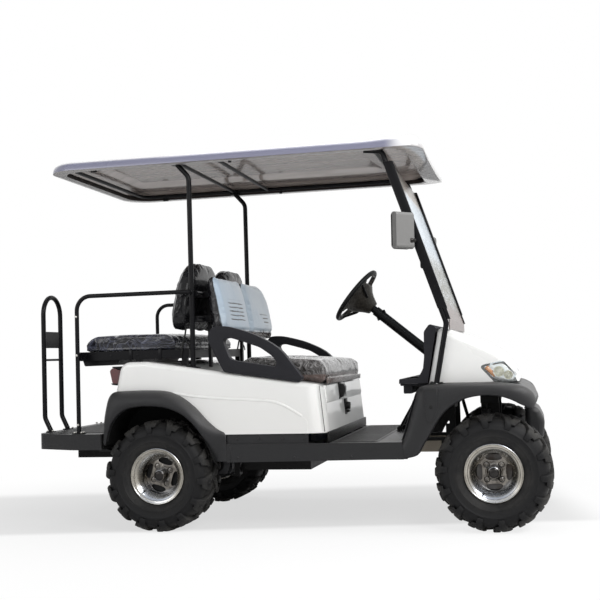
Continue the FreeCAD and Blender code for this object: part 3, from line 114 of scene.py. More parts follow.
# --- shader expressions -----------------------------------------------------------------------
@dataclass(frozen=True)
class Wire:
    """An output socket that takes part in arithmetic; each operation adds a Math node."""

    graph: "Graph"
    socket: bpy.types.NodeSocket

    def math(self, operation: str, *values: Any) -> "Wire":
        """Add one Math node on the given values."""
        return self.graph.node("Math", {"operation": operation}, dict(enumerate(values)))

    def __add__(self, other: Number) -> "Wire":
        """Sum."""
        return self.math("ADD", self, other)

    __radd__ = __add__

    def __sub__(self, other: Number) -> "Wire":
        """Difference."""
        return self.math("SUBTRACT", self, other)

    def __rsub__(self, other: Number) -> "Wire":
        """Difference, reflected."""
        return self.math("SUBTRACT", other, self)

    def __mul__(self, other: Number) -> "Wire":
        """Product."""
        return self.math("MULTIPLY", self, other)

    __rmul__ = __mul__

    def __truediv__(self, other: Number) -> "Wire":
        """Quotient."""
        return self.math("DIVIDE", self, other)

    def __pow__(self, other: Number) -> "Wire":
        """Power."""
        return self.math("POWER", self, other)

    def __abs__(self) -> "Wire":
        """Size without sign."""
        return self.math("ABSOLUTE", self)

    def highest(self, other: Number) -> "Wire":
        """The greater of two values."""
        return self.math("MAXIMUM", self, other)

    def lowest(self, other: Number) -> "Wire":
        """The smaller of two values."""
        return self.math("MINIMUM", self, other)

    def fade(self, low: float, high: float) -> "Wire":
        """Smooth step of this value.

        Args:
            low: where the step is 0; it may be the greater.
            high: where the step is 1.

        Returns:
            The step.
        """
        settings = {"interpolation_type": "SMOOTHSTEP"}
        if low <= high:
            return self.graph.node("MapRange", settings, {0: self, 1: low, 2: high})
        return 1.0 - self.graph.node("MapRange", settings, {0: self, 1: high, 2: low})

    def spread(self, low: float, high: float) -> "Wire":
        """Straight map of 0..1 to low..high."""
        return self.graph.node("MapRange", {}, {0: self, 3: low, 4: high})


class Graph:
    """One node tree, built by calls that return wires."""

    def __init__(self, tree: bpy.types.NodeTree) -> None:
        """Empty the tree.

        Args:
            tree: node tree of a material or a world.
        """
        self.tree = tree
        tree.nodes.clear()

    def node(self, kind: str, settings: Mapping[str, Any] | None = None,
             inputs: Mapping[Any, Any] | None = None, output: int | str = 0) -> Wire:
        """Add any node.

        Args:
            kind: node type without its ShaderNode prefix.
            settings: properties that are set first; `stops` fills a ramp.
            inputs: socket name or index to a value or a wire.
            output: the output socket that is returned.

        Returns:
            The chosen output.
        """
        made = self.tree.nodes.new("ShaderNode" + kind)
        for key, value in (settings or {}).items():
            if key == "stops":
                ramp = made.color_ramp
                while len(ramp.elements) < len(value):
                    ramp.elements.new(0.5)
                for element, (place, colour) in zip(ramp.elements, value):
                    element.position, element.color = place, (*colour, 1.0)
            else:
                setattr(made, key, value)
        for key, value in (inputs or {}).items():
            socket = made.inputs[key]
            if isinstance(value, Wire):
                self.tree.links.new(value.socket, socket)
            elif isinstance(value, tuple) and socket.type == "RGBA":
                socket.default_value = (*value[:3], 1.0)
            else:
                socket.default_value = value
        return Wire(self, made.outputs[output])

    def here(self, stretch: Point = (1, 1, 1), turn: Point = (0, 0, 0),
             move: Point = (0, 0, 0)) -> Wire:
        """Object coordinates, scaled, turned and moved.

        Args:
            stretch: scale of each axis.
            turn: angles in radians.
            move: shift in metres.

        Returns:
            The vector.
        """
        where = self.node("TexCoord", output="Object")
        if tuple(stretch) == (1, 1, 1) and not any(turn) and not any(move):
            return where
        return self.node("Mapping", {}, {0: where, 1: tuple(move), 2: tuple(turn),
                                         3: tuple(stretch)})

    def axes(self, vector: Wire | None = None) -> tuple[Wire, Wire, Wire]:
        """The three parts of a vector.

        Args:
            vector: by default the object coordinates.

        Returns:
            X, Y and Z.
        """
        split = self.node("SeparateXYZ", {}, {0: vector or self.here()})
        outputs = split.socket.node.outputs
        return Wire(self, outputs[0]), Wire(self, outputs[1]), Wire(self, outputs[2])

    def facing(self) -> tuple[Wire, Wire, Wire]:
        """The three parts of the surface normal."""
        return self.axes(self.node("NewGeometry", output="Normal"))

    def noise(self, scale: float, detail: float = 3.0, rough: float = 0.5,
              at: Wire | None = None, twist: float = 0.0) -> Wire:
        """Noise between 0 and 1."""
        return self.node("TexNoise", {}, {"Vector": at or self.here(), "Scale": scale,
                                          "Detail": detail, "Roughness": rough,
                                          "Distortion": twist})

    def cells(self, scale: float, feature: str = "F1", at: Wire | None = None) -> Wire:
        """Voronoi distance."""
        return self.node("TexVoronoi", {"feature": feature},
                         {"Vector": at or self.here(), "Scale": scale}, "Distance")

    def fraction(self, value: Wire) -> Wire:
        """What is left past the whole number."""
        return self.node("Math", {"operation": "FRACT"}, {0: value})

    def mix(self, a: Any, b: Any, factor: Any) -> Wire:
        """Blend of two colours, which are a Mix node's inputs 6 and 7."""
        return self.node("Mix", {"data_type": "RGBA"}, {0: factor, 6: a, 7: b}, 2)

    def bump(self, height: Wire, distance: float, strength: float = 1.0) -> Wire:
        """Normal bent by a height in units of `distance`."""
        return self.node("Bump", {}, {"Height": height, "Distance": distance,
                                      "Strength": strength})

    def surface(self, **inputs: Any) -> Wire:
        """Principled shader; keywords are its socket names with _ for a space."""
        renamed = {key.replace("_", " "): value for key, value in inputs.items()}
        return self.node("BsdfPrincipled", {}, renamed)

    def output(self, shader: Wire, kind: str = "OutputMaterial") -> None:
        """Send a shader to the tree's output."""
        end = self.tree.nodes.new("ShaderNode" + kind)
        self.tree.links.new(shader.socket, end.inputs[0])


# --- finishes ---------------------------------------------------------------------------------
@dataclass(frozen=True)
class Finish:
    """A named surface; subclasses say how its shader is made."""

    name: str

    def shade(self, graph: Graph) -> Wire:
        """Build the shader."""
        raise NotImplementedError

    def material(self) -> bpy.types.Material:
        """The finish's material, made at first use.

        Returns:
            The material.
        """
        made = bpy.data.materials.get("finish_" + self.name)
        if made is None:
            made = bpy.data.materials.new("finish_" + self.name)
            graph = tree_of(made)
            graph.output(self.shade(graph))
        return made


@dataclass(frozen=True)
class BodyPaint(Finish):
    """Gloss white moulding with a faint orange peel and a little road dust low down."""

    colour: Colour = (0.80, 0.80, 0.785)
    dust: Colour = (0.58, 0.56, 0.53)
    dust_z: float = 0.82

    def shade(self, graph: Graph) -> Wire:
        """Build the shader.

        Args:
            graph: node tree of the material.

        Returns:
            The shader.
        """
        _, _, z = graph.axes()
        cloud = graph.noise(2.2, 4)
        low = z.fade(self.dust_z, self.dust_z - 0.36) * cloud.spread(0.6, 1.0) * 0.30
        speck = graph.noise(140, 2).fade(0.66, 0.74) * 0.03
        tone = graph.mix(self.colour, tuple(c * 0.965 for c in self.colour), cloud)
        peel = graph.bump(graph.noise(420, 1), 0.00006)
        return graph.surface(Base_Color=graph.mix(tone, self.dust, low + speck),
                             Roughness=cloud.spread(0.22, 0.34) + low, Coat_Weight=0.7,
                             Coat_Roughness=0.06, Normal=peel)


@dataclass(frozen=True)
class Moulding(Finish):
    """Grained dark plastic with a painted highlight: paler in patches on its upper and forward
    faces, as if lit from high ahead, and pale scuffs of dust and wear.
    """

    colour: Colour = (0.013, 0.013, 0.014)
    # pale: colour of the painted highlight on upper and forward faces, and of the scuffs
    pale: Colour = (0.150, 0.147, 0.145)
    rough: float = 0.46
    grain: float = 900.0
    shine: float = 0.16

    def shade(self, graph: Graph) -> Wire:
        """Build the shader.

        Args:
            graph: node tree of the material.

        Returns:
            The shader.
        """
        ahead, _, up = graph.facing()
        cloud = graph.noise(6, 5, 0.6)
        scuff = graph.noise(60, 4, 0.7, graph.here((1, 1, 4))).fade(0.60, 0.78)
        # painted highlight: upper and forward faces paler in noisy patches, as if lit from high
        # ahead; the scuffs are dust and wear
        dusty = ((up * 0.75 + ahead * 0.55).fade(0.15, 1.05) * cloud.spread(0.25, 0.65)
                 + scuff * 0.15)
        tone = graph.mix(self.colour, self.pale, dusty)
        grain = graph.cells(self.grain).fade(0.0, 0.7) + graph.noise(260, 2) * 0.6
        return graph.surface(Base_Color=tone, Specular_IOR_Level=self.shine,
                             Roughness=cloud.spread(self.rough - 0.08, self.rough + 0.12),
                             Normal=graph.bump(grain, 0.00022, 0.8))


@dataclass(frozen=True)
class CanopyPaint(Finish):
    """Gloss white top, with painted shade: its upright sides painted a cooler grey, and the nose's
    foot painted grey as shadow.
    """

    top: Colour = (0.80, 0.80, 0.81)
    # side: painted shade of the upright and rear-facing sides; foot: painted shadow under the nose
    side: Colour = (0.190, 0.192, 0.270)
    foot: Colour = (0.30, 0.285, 0.28)

    def shade(self, graph: Graph) -> Wire:
        """Build the shader.

        Args:
            graph: node tree of the material.

        Returns:
            The shader.
        """
        x, _, z = graph.axes()
        ahead, across, _ = graph.facing()
        cloud = graph.noise(3, 4)
        # painted shade on the upright and rear-facing sides, towards the rear
        side = abs(across).fade(0.45, 0.80).highest(ahead.fade(-0.35, -0.70))
        side = side * x.fade(0.68, 0.58)
        # painted shadow on the nose's forward-facing foot
        nose = ahead.fade(0.05, 0.55) * z.fade(1.895, 1.835)
        tone = graph.mix(self.top, tuple(c * 0.95 for c in self.top), cloud)
        tone = graph.mix(graph.mix(tone, self.side, side), self.foot, nose * 0.9)
        return graph.surface(Base_Color=tone, Roughness=cloud.spread(0.22, 0.36), Coat_Weight=0.6,
                             Coat_Roughness=0.06,
                             Normal=graph.bump(graph.noise(300, 1), 0.00008))


@dataclass(frozen=True)
class Ceiling(Finish):
    """Glossy grey-beige moulding with long soft streaks."""

    colour: Colour = (0.520, 0.450, 0.412)
    dark: Colour = (0.320, 0.272, 0.246)
    rough: float = 0.12

    def shade(self, graph: Graph) -> Wire:
        """Build the shader.

        Args:
            graph: node tree of the material.

        Returns:
            The shader.
        """
        _, y, _ = graph.axes()
        streak = graph.noise(2.6, 5, 0.62, graph.here((0.55, 4.0, 1)), 0.6)
        fine = graph.noise(30, 3, 0.6, graph.here((0.4, 2.0, 1)))
        shade = streak.fade(0.36, 0.70) * 0.7 + y.fade(-0.1, 0.6) * 0.4 + fine * 0.12
        tone = graph.mix(self.colour, self.dark, shade.lowest(1.0))
        return graph.surface(Base_Color=tone, Roughness=fine.spread(self.rough, self.rough + 0.14),
                             Coat_Weight=0.8, Coat_Roughness=0.05,
                             Normal=graph.bump(streak, 0.01, 0.25))


@dataclass(frozen=True)
class PowderCoat(Finish):
    """Painted steel tube with a few chips."""

    colour: Colour = (0.005, 0.005, 0.006)
    chipped: Colour = (0.10, 0.09, 0.08)
    rough: float = 0.28
    shine: float = 0.14

    def shade(self, graph: Graph) -> Wire:
        """Build the shader.

        Args:
            graph: node tree of the material.

        Returns:
            The shader.
        """
        chip = graph.noise(85, 3, 0.6).fade(0.70, 0.76) * 0.25
        return self.coated(graph, graph.mix(self.colour, self.chipped, chip), graph.noise(9, 4))

    def coated(self, graph: Graph, tone: Wire, cloud: Wire) -> Wire:
        """Paint of a tone, with its grain and its patches of wear."""
        return graph.surface(Base_Color=tone, Specular_IOR_Level=self.shine,
                             Roughness=cloud.spread(self.rough - 0.06, self.rough + 0.10),
                             Normal=graph.bump(graph.noise(700, 2), 0.00005))


@dataclass(frozen=True)
class FramePaint(PowderCoat):
    """Chassis black, with the beige priming of the plates behind the front wheels."""

    beige: Colour = (0.42, 0.37, 0.30)
    worn: Colour = (0.22, 0.19, 0.16)

    def shade(self, graph: Graph) -> Wire:
        """Build the shader.

        Args:
            graph: node tree of the material.

        Returns:
            The shader.
        """
        x, y, z = graph.axes()
        plates = (x.fade(0.640, 0.646) * x.fade(0.776, 0.770) * z.fade(0.321, 0.325)
                  * z.fade(0.403, 0.399) * abs(y).fade(0.34, 0.335))
        cloud = graph.noise(12, 4)
        primed = graph.mix(self.beige, self.worn, cloud)
        return self.coated(graph, graph.mix(self.colour, primed, plates), cloud)


@dataclass(frozen=True)
class Metal(Finish):
    """Bare or plated metal, from polished alloy to cast iron."""

    colour: Colour = (0.78, 0.78, 0.77)
    dark: Colour = (0.35, 0.33, 0.30)
    rough: float = 0.20
    stain: float = 0.3
    cast: float = 0.0
    metallic: float = 1.0

    def shade(self, graph: Graph) -> Wire:
        """Build the shader.

        Args:
            graph: node tree of the material.

        Returns:
            The shader.
        """
        cloud = graph.noise(14, 6, 0.62)
        stain = cloud.fade(0.42, 0.72) * self.stain
        fine = graph.noise(520, 3)
        height = fine * 0.3 + graph.noise(130, 3) * (4.0 * self.cast)
        return graph.surface(Base_Color=graph.mix(self.colour, self.dark, stain),
                             Metallic=self.metallic,
                             Roughness=cloud.spread(self.rough * 0.7, self.rough * 1.4),
                             Normal=graph.bump(height, 0.00008 + 0.0004 * self.cast))


@dataclass(frozen=True)
class Alloy(Metal):
    """Polished alloy, duller where it looks down or out, with a painted sky reflection where it
    looks up.
    """

    # colour of the painted sky reflection on upward faces
    painted_sky_sheen: Colour = (0.72, 0.77, 0.86)

    def shade(self, graph: Graph) -> Wire:
        """Build the shader.

        Args:
            graph: node tree of the material.

        Returns:
            The shader.
        """
        _, _, up = graph.facing()
        cloud = graph.noise(26, 5, 0.62)
        fine = graph.noise(420, 3)
        tone = graph.mix(self.colour, self.dark, cloud.fade(0.40, 0.70) * self.stain)
        # painted reflection: upward faces mixed towards the sky's colour
        tone = graph.mix(tone, self.painted_sky_sheen, up.fade(0.12, 0.75))
        return graph.surface(Base_Color=tone, Metallic=1.0,
                             Roughness=cloud.spread(self.rough * 0.6, self.rough * 1.5),
                             Normal=graph.bump(fine, 0.00006))


@dataclass(frozen=True)
class Rubber(Finish):
    """Tyre rubber: near black, with road dust on the crown of its tread."""

    colour: Colour = (0.0075, 0.0075, 0.008)
    pale: Colour = (0.070, 0.067, 0.062)
    rough: float = 0.55
    dusty: float = 0.8
    axles: tuple[float, float, float] = (0.220737, 0.825, 0.277)

    def shade(self, graph: Graph) -> Wire:
        """Build the shader.

        Args:
            graph: node tree of the material.

        Returns:
            The shader.
        """
        x, _, z = graph.axes()
        middle, half, height = self.axles
        ahead, up = abs(x - middle) - half, z - height
        radius = (ahead * ahead + up * up) ** 0.5
        cloud = graph.noise(16, 6, 0.65)
        fine = graph.noise(240, 4, 0.6)
        crown = radius.fade(0.236, 0.274).highest(radius.fade(0.200, 0.160) * 0.35)
        dust = (cloud.fade(0.30, 0.66) * 0.7 + fine.fade(0.46, 0.68) * 0.3) * crown * self.dusty
        return graph.surface(Base_Color=graph.mix(self.colour, self.pale, dust),
                             Roughness=cloud.spread(self.rough - 0.12, self.rough + 0.15),
                             Specular_IOR_Level=0.18,
                             Normal=graph.bump(fine + cloud * 0.5, 0.0005, 0.7))


@dataclass(frozen=True)
class FilmedVinyl(Finish):
    """Black seat vinyl under a crumpled clear film, with a painted highlight on its upward faces."""

    colour: Colour = (0.010, 0.010, 0.012)
    film: Colour = (0.16, 0.17, 0.18)
    crumple: float = 1.0
    scale: float = 9.0
    gloss: float = 0.3
    shine: float = 0.3
    # top: strength of the painted highlight on upward faces
    top: float = 0.0
    hem_z: float = -1.0
    hem: Colour = (0.12, 0.080, 0.070)

    def shade(self, graph: Graph) -> Wire:
        """Build the shader.

        Args:
            graph: node tree of the material.

        Returns:
            The shader.
        """
        warp = graph.noise(self.scale * 0.8, 2, 0.5)
        where = graph.node("VectorMath", {"operation": "MULTIPLY_ADD"},
                           {0: graph.here((1, 1, 1.4)), 1: (1, 1, 1), 2: warp})
        folds = graph.cells(self.scale * 2.0, "DISTANCE_TO_EDGE", where).fade(0.12, 0.0)
        ripple = graph.noise(self.scale * 2.2, 2, 0.5, where, 0.8)
        _, _, up = graph.facing()
        _, _, z = graph.axes()
        height = folds * 0.5 + ripple * 1.2
        # painted highlight: upward faces paler, a painted sky sheen
        painted_sky_sheen = up.fade(0.55, 0.98) * self.top * ripple.fade(0.30, 0.62)
        haze = (folds * 0.30 + ripple.fade(0.48, 0.72) * 0.4).lowest(1.0)
        low = (z + ripple * 0.008).fade(self.hem_z + 0.003, self.hem_z - 0.003)
        tone = graph.mix(self.colour, self.film, haze.highest(painted_sky_sheen))
        tone = graph.mix(tone, self.hem, low * ripple.spread(0.85, 1.0))
        return graph.surface(Base_Color=tone, Roughness=haze.spread(0.12, 0.26),
                             Coat_Weight=self.gloss, Coat_Roughness=0.05,
                             Specular_IOR_Level=self.shine,
                             Normal=graph.bump(height, 0.004 * self.crumple, 0.9))


@dataclass(frozen=True)
class BackFilm(Finish):
    """Forward backrest: pale taut film in front, black vinyl round the sides."""

    vinyl: Colour = (0.010, 0.010, 0.012)
    film: Colour = (0.385, 0.47, 0.56)
    pale: Colour = (0.52, 0.575, 0.625)
    hem: Colour = (0.12, 0.085, 0.072)
    slit: Colour = (0.012, 0.015, 0.02)
    creased: Colour = (0.08, 0.08, 0.085)
    slit_foot: float = 1.046
    slit_pitch: float = 0.0215

    def shade(self, graph: Graph) -> Wire:
        """Build the shader.

        Args:
            graph: node tree of the material.

        Returns:
            The shader.
        """
        _, y, z = graph.axes()
        ahead, _, _ = graph.facing()
        warp = graph.noise(14, 3, 0.6)
        front = ahead.fade(0.15, 0.55) * (z + warp * 0.02).fade(1.000, 1.024)
        folds = graph.cells(26, "DISTANCE_TO_EDGE", graph.here((1, 1, 0.6))).fade(0.10, 0.0)
        ripple = graph.noise(30, 4, 0.6, graph.here((1, 0.8, 1.6)), 1.0)
        rows = graph.fraction((z - self.slit_foot) / self.slit_pitch)
        rows = rows + graph.noise(9, 2, 0.5, graph.here((1, 1, 6))) * 0.4
        slit = rows.fade(0.46, 0.56) * rows.fade(0.86, 0.76)
        near = (y.fade(-0.41, -0.37) * y.fade(-0.10, -0.16)
                * z.fade(1.04, 1.05) * z.fade(1.165, 1.15))
        far = y.fade(0.10, 0.16) * y.fade(0.40, 0.34) * z.fade(1.03, 1.05) * z.fade(1.11, 1.09)
        patch = graph.noise(7, 2, 0.5).fade(0.40, 0.52)
        dark = slit * (near * patch.highest(0.85) + far * patch).lowest(1.0)
        cloud = graph.noise(5, 3, 0.6).fade(0.35, 0.7)
        tone = graph.mix(self.film, self.pale, (y + 0.5).fade(0.0, 1.0) * 0.6 + cloud * 0.4)
        tone = graph.mix(tone, self.slit, dark)
        hem = ahead.fade(0.0, 0.5) * z.fade(1.004, 0.985)
        side = graph.mix(self.vinyl, self.creased, folds * 0.3 + ripple.fade(0.58, 0.75) * 0.4)
        side = graph.mix(side, self.hem, hem * ripple.fade(0.35, 0.6))
        height = folds * 0.2 + ripple * (1.0 - front * 0.6) - dark * 0.5
        return graph.surface(Base_Color=graph.mix(side, tone, front),
                             Roughness=front.spread(0.16, 0.40), Coat_Weight=0.3,
                             Coat_Roughness=0.08, Specular_IOR_Level=0.3,
                             Normal=graph.bump(height, 0.003, 0.8))


@dataclass(frozen=True)
class ClearSheet(Finish):
    """Clear sheet with a film on it: tinted towards its top and foot."""

    body: Colour = (0.66, 0.72, 0.78)
    head: Colour = (0.30, 0.25, 0.20)
    foot: Colour = (0.15, 0.11, 0.10)
    speckle: Colour = (0.10, 0.10, 0.065)
    haze: tuple[float, float] = (0.60, 0.82)
    levels: tuple[float, float, float] = (1.03, 1.36, 1.70)
    tint: Colour = (0.93, 0.96, 0.97)
    face_on: float = 0.30
    densest: float = 0.96

    def shade(self, graph: Graph) -> Wire:
        """Build the shader.

        Args:
            graph: node tree of the material.

        Returns:
            The shader.
        """
        _, _, z = graph.axes()
        low, middle, high = self.levels
        wave = graph.noise(7, 3) * 0.06
        head = (z + wave).fade(high - 0.02, high + 0.03)
        # darker spots in the speckle colour across the middle height
        spotted_band = (z + wave).fade(middle + 0.08, middle - 0.06)
        foot = (z + wave).fade(low + 0.14, low + 0.04)
        streak = graph.noise(5, 4, 0.6, graph.here((1, 1, 0.25)))
        fold = graph.noise(9, 5, 0.6, graph.here((1, 1, 0.5)), 1.2)
        spots = graph.noise(34, 4, 0.7).fade(0.30, 0.56)
        tone = graph.mix(self.body, self.head, head * fold.spread(0.70, 1.0))
        tone = graph.mix(tone, self.speckle, spotted_band * spots)
        tone = graph.mix(tone, self.foot, foot * fold.fade(0.20, 0.45))
        clear = graph.node("BsdfTransparent", {}, {0: self.tint})
        film = graph.surface(Base_Color=tone, Roughness=0.25, Specular_IOR_Level=0.3,
                             Normal=graph.bump(fold + streak * 0.5, 0.0012, 0.5))
        along = graph.node("LayerWeight", {}, {0: 0.5}, "Facing").fade(0.25, 0.72)
        density = streak.spread(*self.haze) + (head + spotted_band * 0.9 + foot) * 0.50
        factor = density.lowest(self.densest) * along.spread(self.face_on, 1.0)
        return graph.node("MixShader", {}, {0: factor, 1: clear, 2: film})


@dataclass(frozen=True)
class Lens(Finish):
    """Coloured lamp lens with moulded flutes."""

    colour: Colour = (0.9, 0.9, 0.88)
    clear: float = 0.8
    flutes: float = 90.0

    def shade(self, graph: Graph) -> Wire:
        """Build the shader.

        Args:
            graph: node tree of the material.

        Returns:
            The shader.
        """
        _, y, _ = graph.axes()
        flute = y.math("SINE", y * (self.flutes * 6.28))
        cloud = graph.noise(30, 3)
        tone = graph.mix(self.colour, tuple(c * 0.7 for c in self.colour), cloud)
        return graph.surface(Base_Color=tone, Roughness=cloud.spread(0.04, 0.10),
                             Transmission_Weight=self.clear, IOR=1.45, Coat_Weight=1.0,
                             Normal=graph.bump(flute, 0.0006, 0.6))


class Kit(Enum):
    """Every finish of the buggy."""

    WHITE = BodyPaint("body_white")
    CANOPY = CanopyPaint("canopy_white")
    # painted shade: a darker copy of the ceiling's finish on the rim's downward-facing underside
    CANOPY_UNDER = Ceiling("canopy_band", colour=(0.30, 0.28, 0.27), dark=(0.21, 0.19, 0.185),
                           rough=0.2)
    LIP = Moulding("canopy_lip", colour=(0.020, 0.014, 0.012), pale=(0.05, 0.04, 0.035))
    CEILING = Ceiling("ceiling")
    CHARCOAL = Moulding("charcoal", rough=0.38, shine=0.28)
    DARK_TRIM = Moulding("dark_trim", colour=(0.014, 0.014, 0.017), pale=(0.09, 0.09, 0.10))
    TUBE = PowderCoat("tube_black")
    FRAME = FramePaint("frame_black", colour=(0.007, 0.007, 0.007), rough=0.45)
    GRIP = Moulding("grip", colour=(0.012, 0.012, 0.012), pale=(0.03, 0.03, 0.03), rough=0.38)
    LINER = Moulding("wheel_liner", colour=(0.004, 0.004, 0.004), pale=(0.010, 0.010, 0.010),
                     rough=0.7)
    HORN = Moulding("horn_pad", colour=(0.048, 0.042, 0.036), pale=(0.13, 0.12, 0.11), rough=0.36)
    MIRROR_CASE = Moulding("mirror_case", colour=(0.180, 0.178, 0.174), pale=(0.34, 0.34, 0.34),
                           rough=0.42)
    VINYL = FilmedVinyl("filmed_vinyl")
    BENCH_FILM = FilmedVinyl("bench_film", colour=(0.030, 0.026, 0.024), film=(0.52, 0.50, 0.50),
                             crumple=1.5, scale=9.0, gloss=0.6, shine=0.5, top=0.75, hem_z=0.765)
    REAR_FILM = FilmedVinyl("rear_bench_film", colour=(0.008, 0.008, 0.011),
                            film=(0.13, 0.14, 0.20), crumple=0.4, scale=6.0, top=0.4)
    SHELL_FILM = FilmedVinyl("shell_film", colour=(0.005, 0.005, 0.006), film=(0.028, 0.028, 0.030),
                             crumple=0.12, scale=4.0, gloss=0.12, shine=0.2)
    BACK_FILM = BackFilm("back_film")
    SCREEN = ClearSheet("screen")
    LAMP = ClearSheet("lamp_clear", body=(0.90, 0.90, 0.89), head=(0.84, 0.85, 0.85),
                      foot=(0.80, 0.80, 0.80), speckle=(0.80, 0.80, 0.80), haze=(0.25, 0.48),
                      levels=(-9.0, -8.0, 9.0))
    RED_LAMP = Lens("lamp_red", colour=(0.10, 0.004, 0.006), clear=0.15)
    SPRING = PowderCoat("spring_black", colour=(0.014, 0.014, 0.014), rough=0.40)
    IRON = Metal("hub_iron", colour=(0.07, 0.067, 0.065), dark=(0.035, 0.025, 0.018), rough=0.45,
                 stain=0.8, cast=1.0)
    BATTERY = Moulding("battery_case", colour=(0.012, 0.020, 0.055), pale=(0.05, 0.06, 0.09),
                       rough=0.30)
    MOTOR = Metal("motor_case", colour=(0.055, 0.055, 0.058), dark=(0.02, 0.02, 0.02), rough=0.45,
                  cast=0.6)
    ALLOY = Alloy("alloy", colour=(0.37, 0.35, 0.31), dark=(0.20, 0.18, 0.15), rough=0.24,
                  stain=0.45)
    # darker disc, nuts and centre ring: partly their own darker plating, partly painted shade of the
    # deep recess inside the lip
    DISC = Alloy("alloy_disc", colour=(0.20, 0.185, 0.165), dark=(0.045, 0.040, 0.036), rough=0.20,
                 stain=1.0, painted_sky_sheen=(0.62, 0.64, 0.68))
    MIRROR = Metal("mirror_glass", colour=(0.85, 0.86, 0.87), dark=(0.75, 0.76, 0.78), rough=0.03)
    CHROME = Metal("reflector", colour=(0.95, 0.95, 0.93), dark=(0.60, 0.58, 0.52), rough=0.22)
    BOLT = Metal("zinc_bolt", colour=(0.50, 0.49, 0.46), dark=(0.20, 0.18, 0.15), rough=0.35)
    AMBER = Lens("amber_lens", colour=(0.90, 0.30, 0.02), clear=0.15)
    BULB = Lens("bulb", colour=(0.85, 0.80, 0.60), clear=0.3)
    CAP = Metal("hub_cap", colour=(0.035, 0.033, 0.032), dark=(0.02, 0.018, 0.016), rough=0.22)
    TYRE = Rubber("tyre_rubber")


@dataclass
class CadDressing:
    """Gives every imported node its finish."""

    finishes: dict[Kit, tuple[str, ...]] = field(default_factory=lambda: {
        Kit.WHITE: ("rear_body", "front_cowl"),
        Kit.CANOPY: ("roof_canopy",),
        Kit.CHARCOAL: ("rear_fender_flares", "rocker_panels", "front_fenders", "front_bumper",
                       "floor_pan", "rear_footrest"),
        Kit.DARK_TRIM: ("dashboard", "armrests"),
        Kit.TUBE: ("side_grab_frames", "grab_hoop", "canopy_frame", "windshield_posts",
                   "seat_frame", "steering_column"),
        Kit.GRIP: ("steering_wheel",),
        Kit.MIRROR_CASE: ("mirrors",),
        Kit.VINYL: ("front_seat_cushion", "rear_seat_cushion", "front_seat_backs",
                    "rear_seat_backs"),
        Kit.SCREEN: ("windshield",),
        Kit.LAMP: ("headlights",),
        Kit.RED_LAMP: ("tail_lights",),
        Kit.FRAME: ("chassis_frame", "front_axle", "rear_axle", "pedals"),
        Kit.SPRING: ("front_springs", "rear_springs", "tie_rod"),
        Kit.IRON: ("knuckle_left", "knuckle_right"),
        Kit.BATTERY: ("battery_pack",),
        Kit.MOTOR: ("drive_motor",),
        Kit.ALLOY: ("rim_front_left", "rim_front_right", "rim_rear_left", "rim_rear_right"),
        Kit.TYRE: ("tyre_front_left", "tyre_front_right", "tyre_rear_left", "tyre_rear_right"),
    })

    def dress(self, nodes: Mapping[str, bpy.types.Object]) -> None:
        """Assign the finishes.

        Args:
            nodes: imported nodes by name.
        """
        for finish, names in self.finishes.items():
            for name in names:
                nodes[name].data.materials.clear()
                nodes[name].data.materials.append(finish.value.material())
        log.info("dressed %d nodes", sum(len(n) for n in self.finishes.values()))


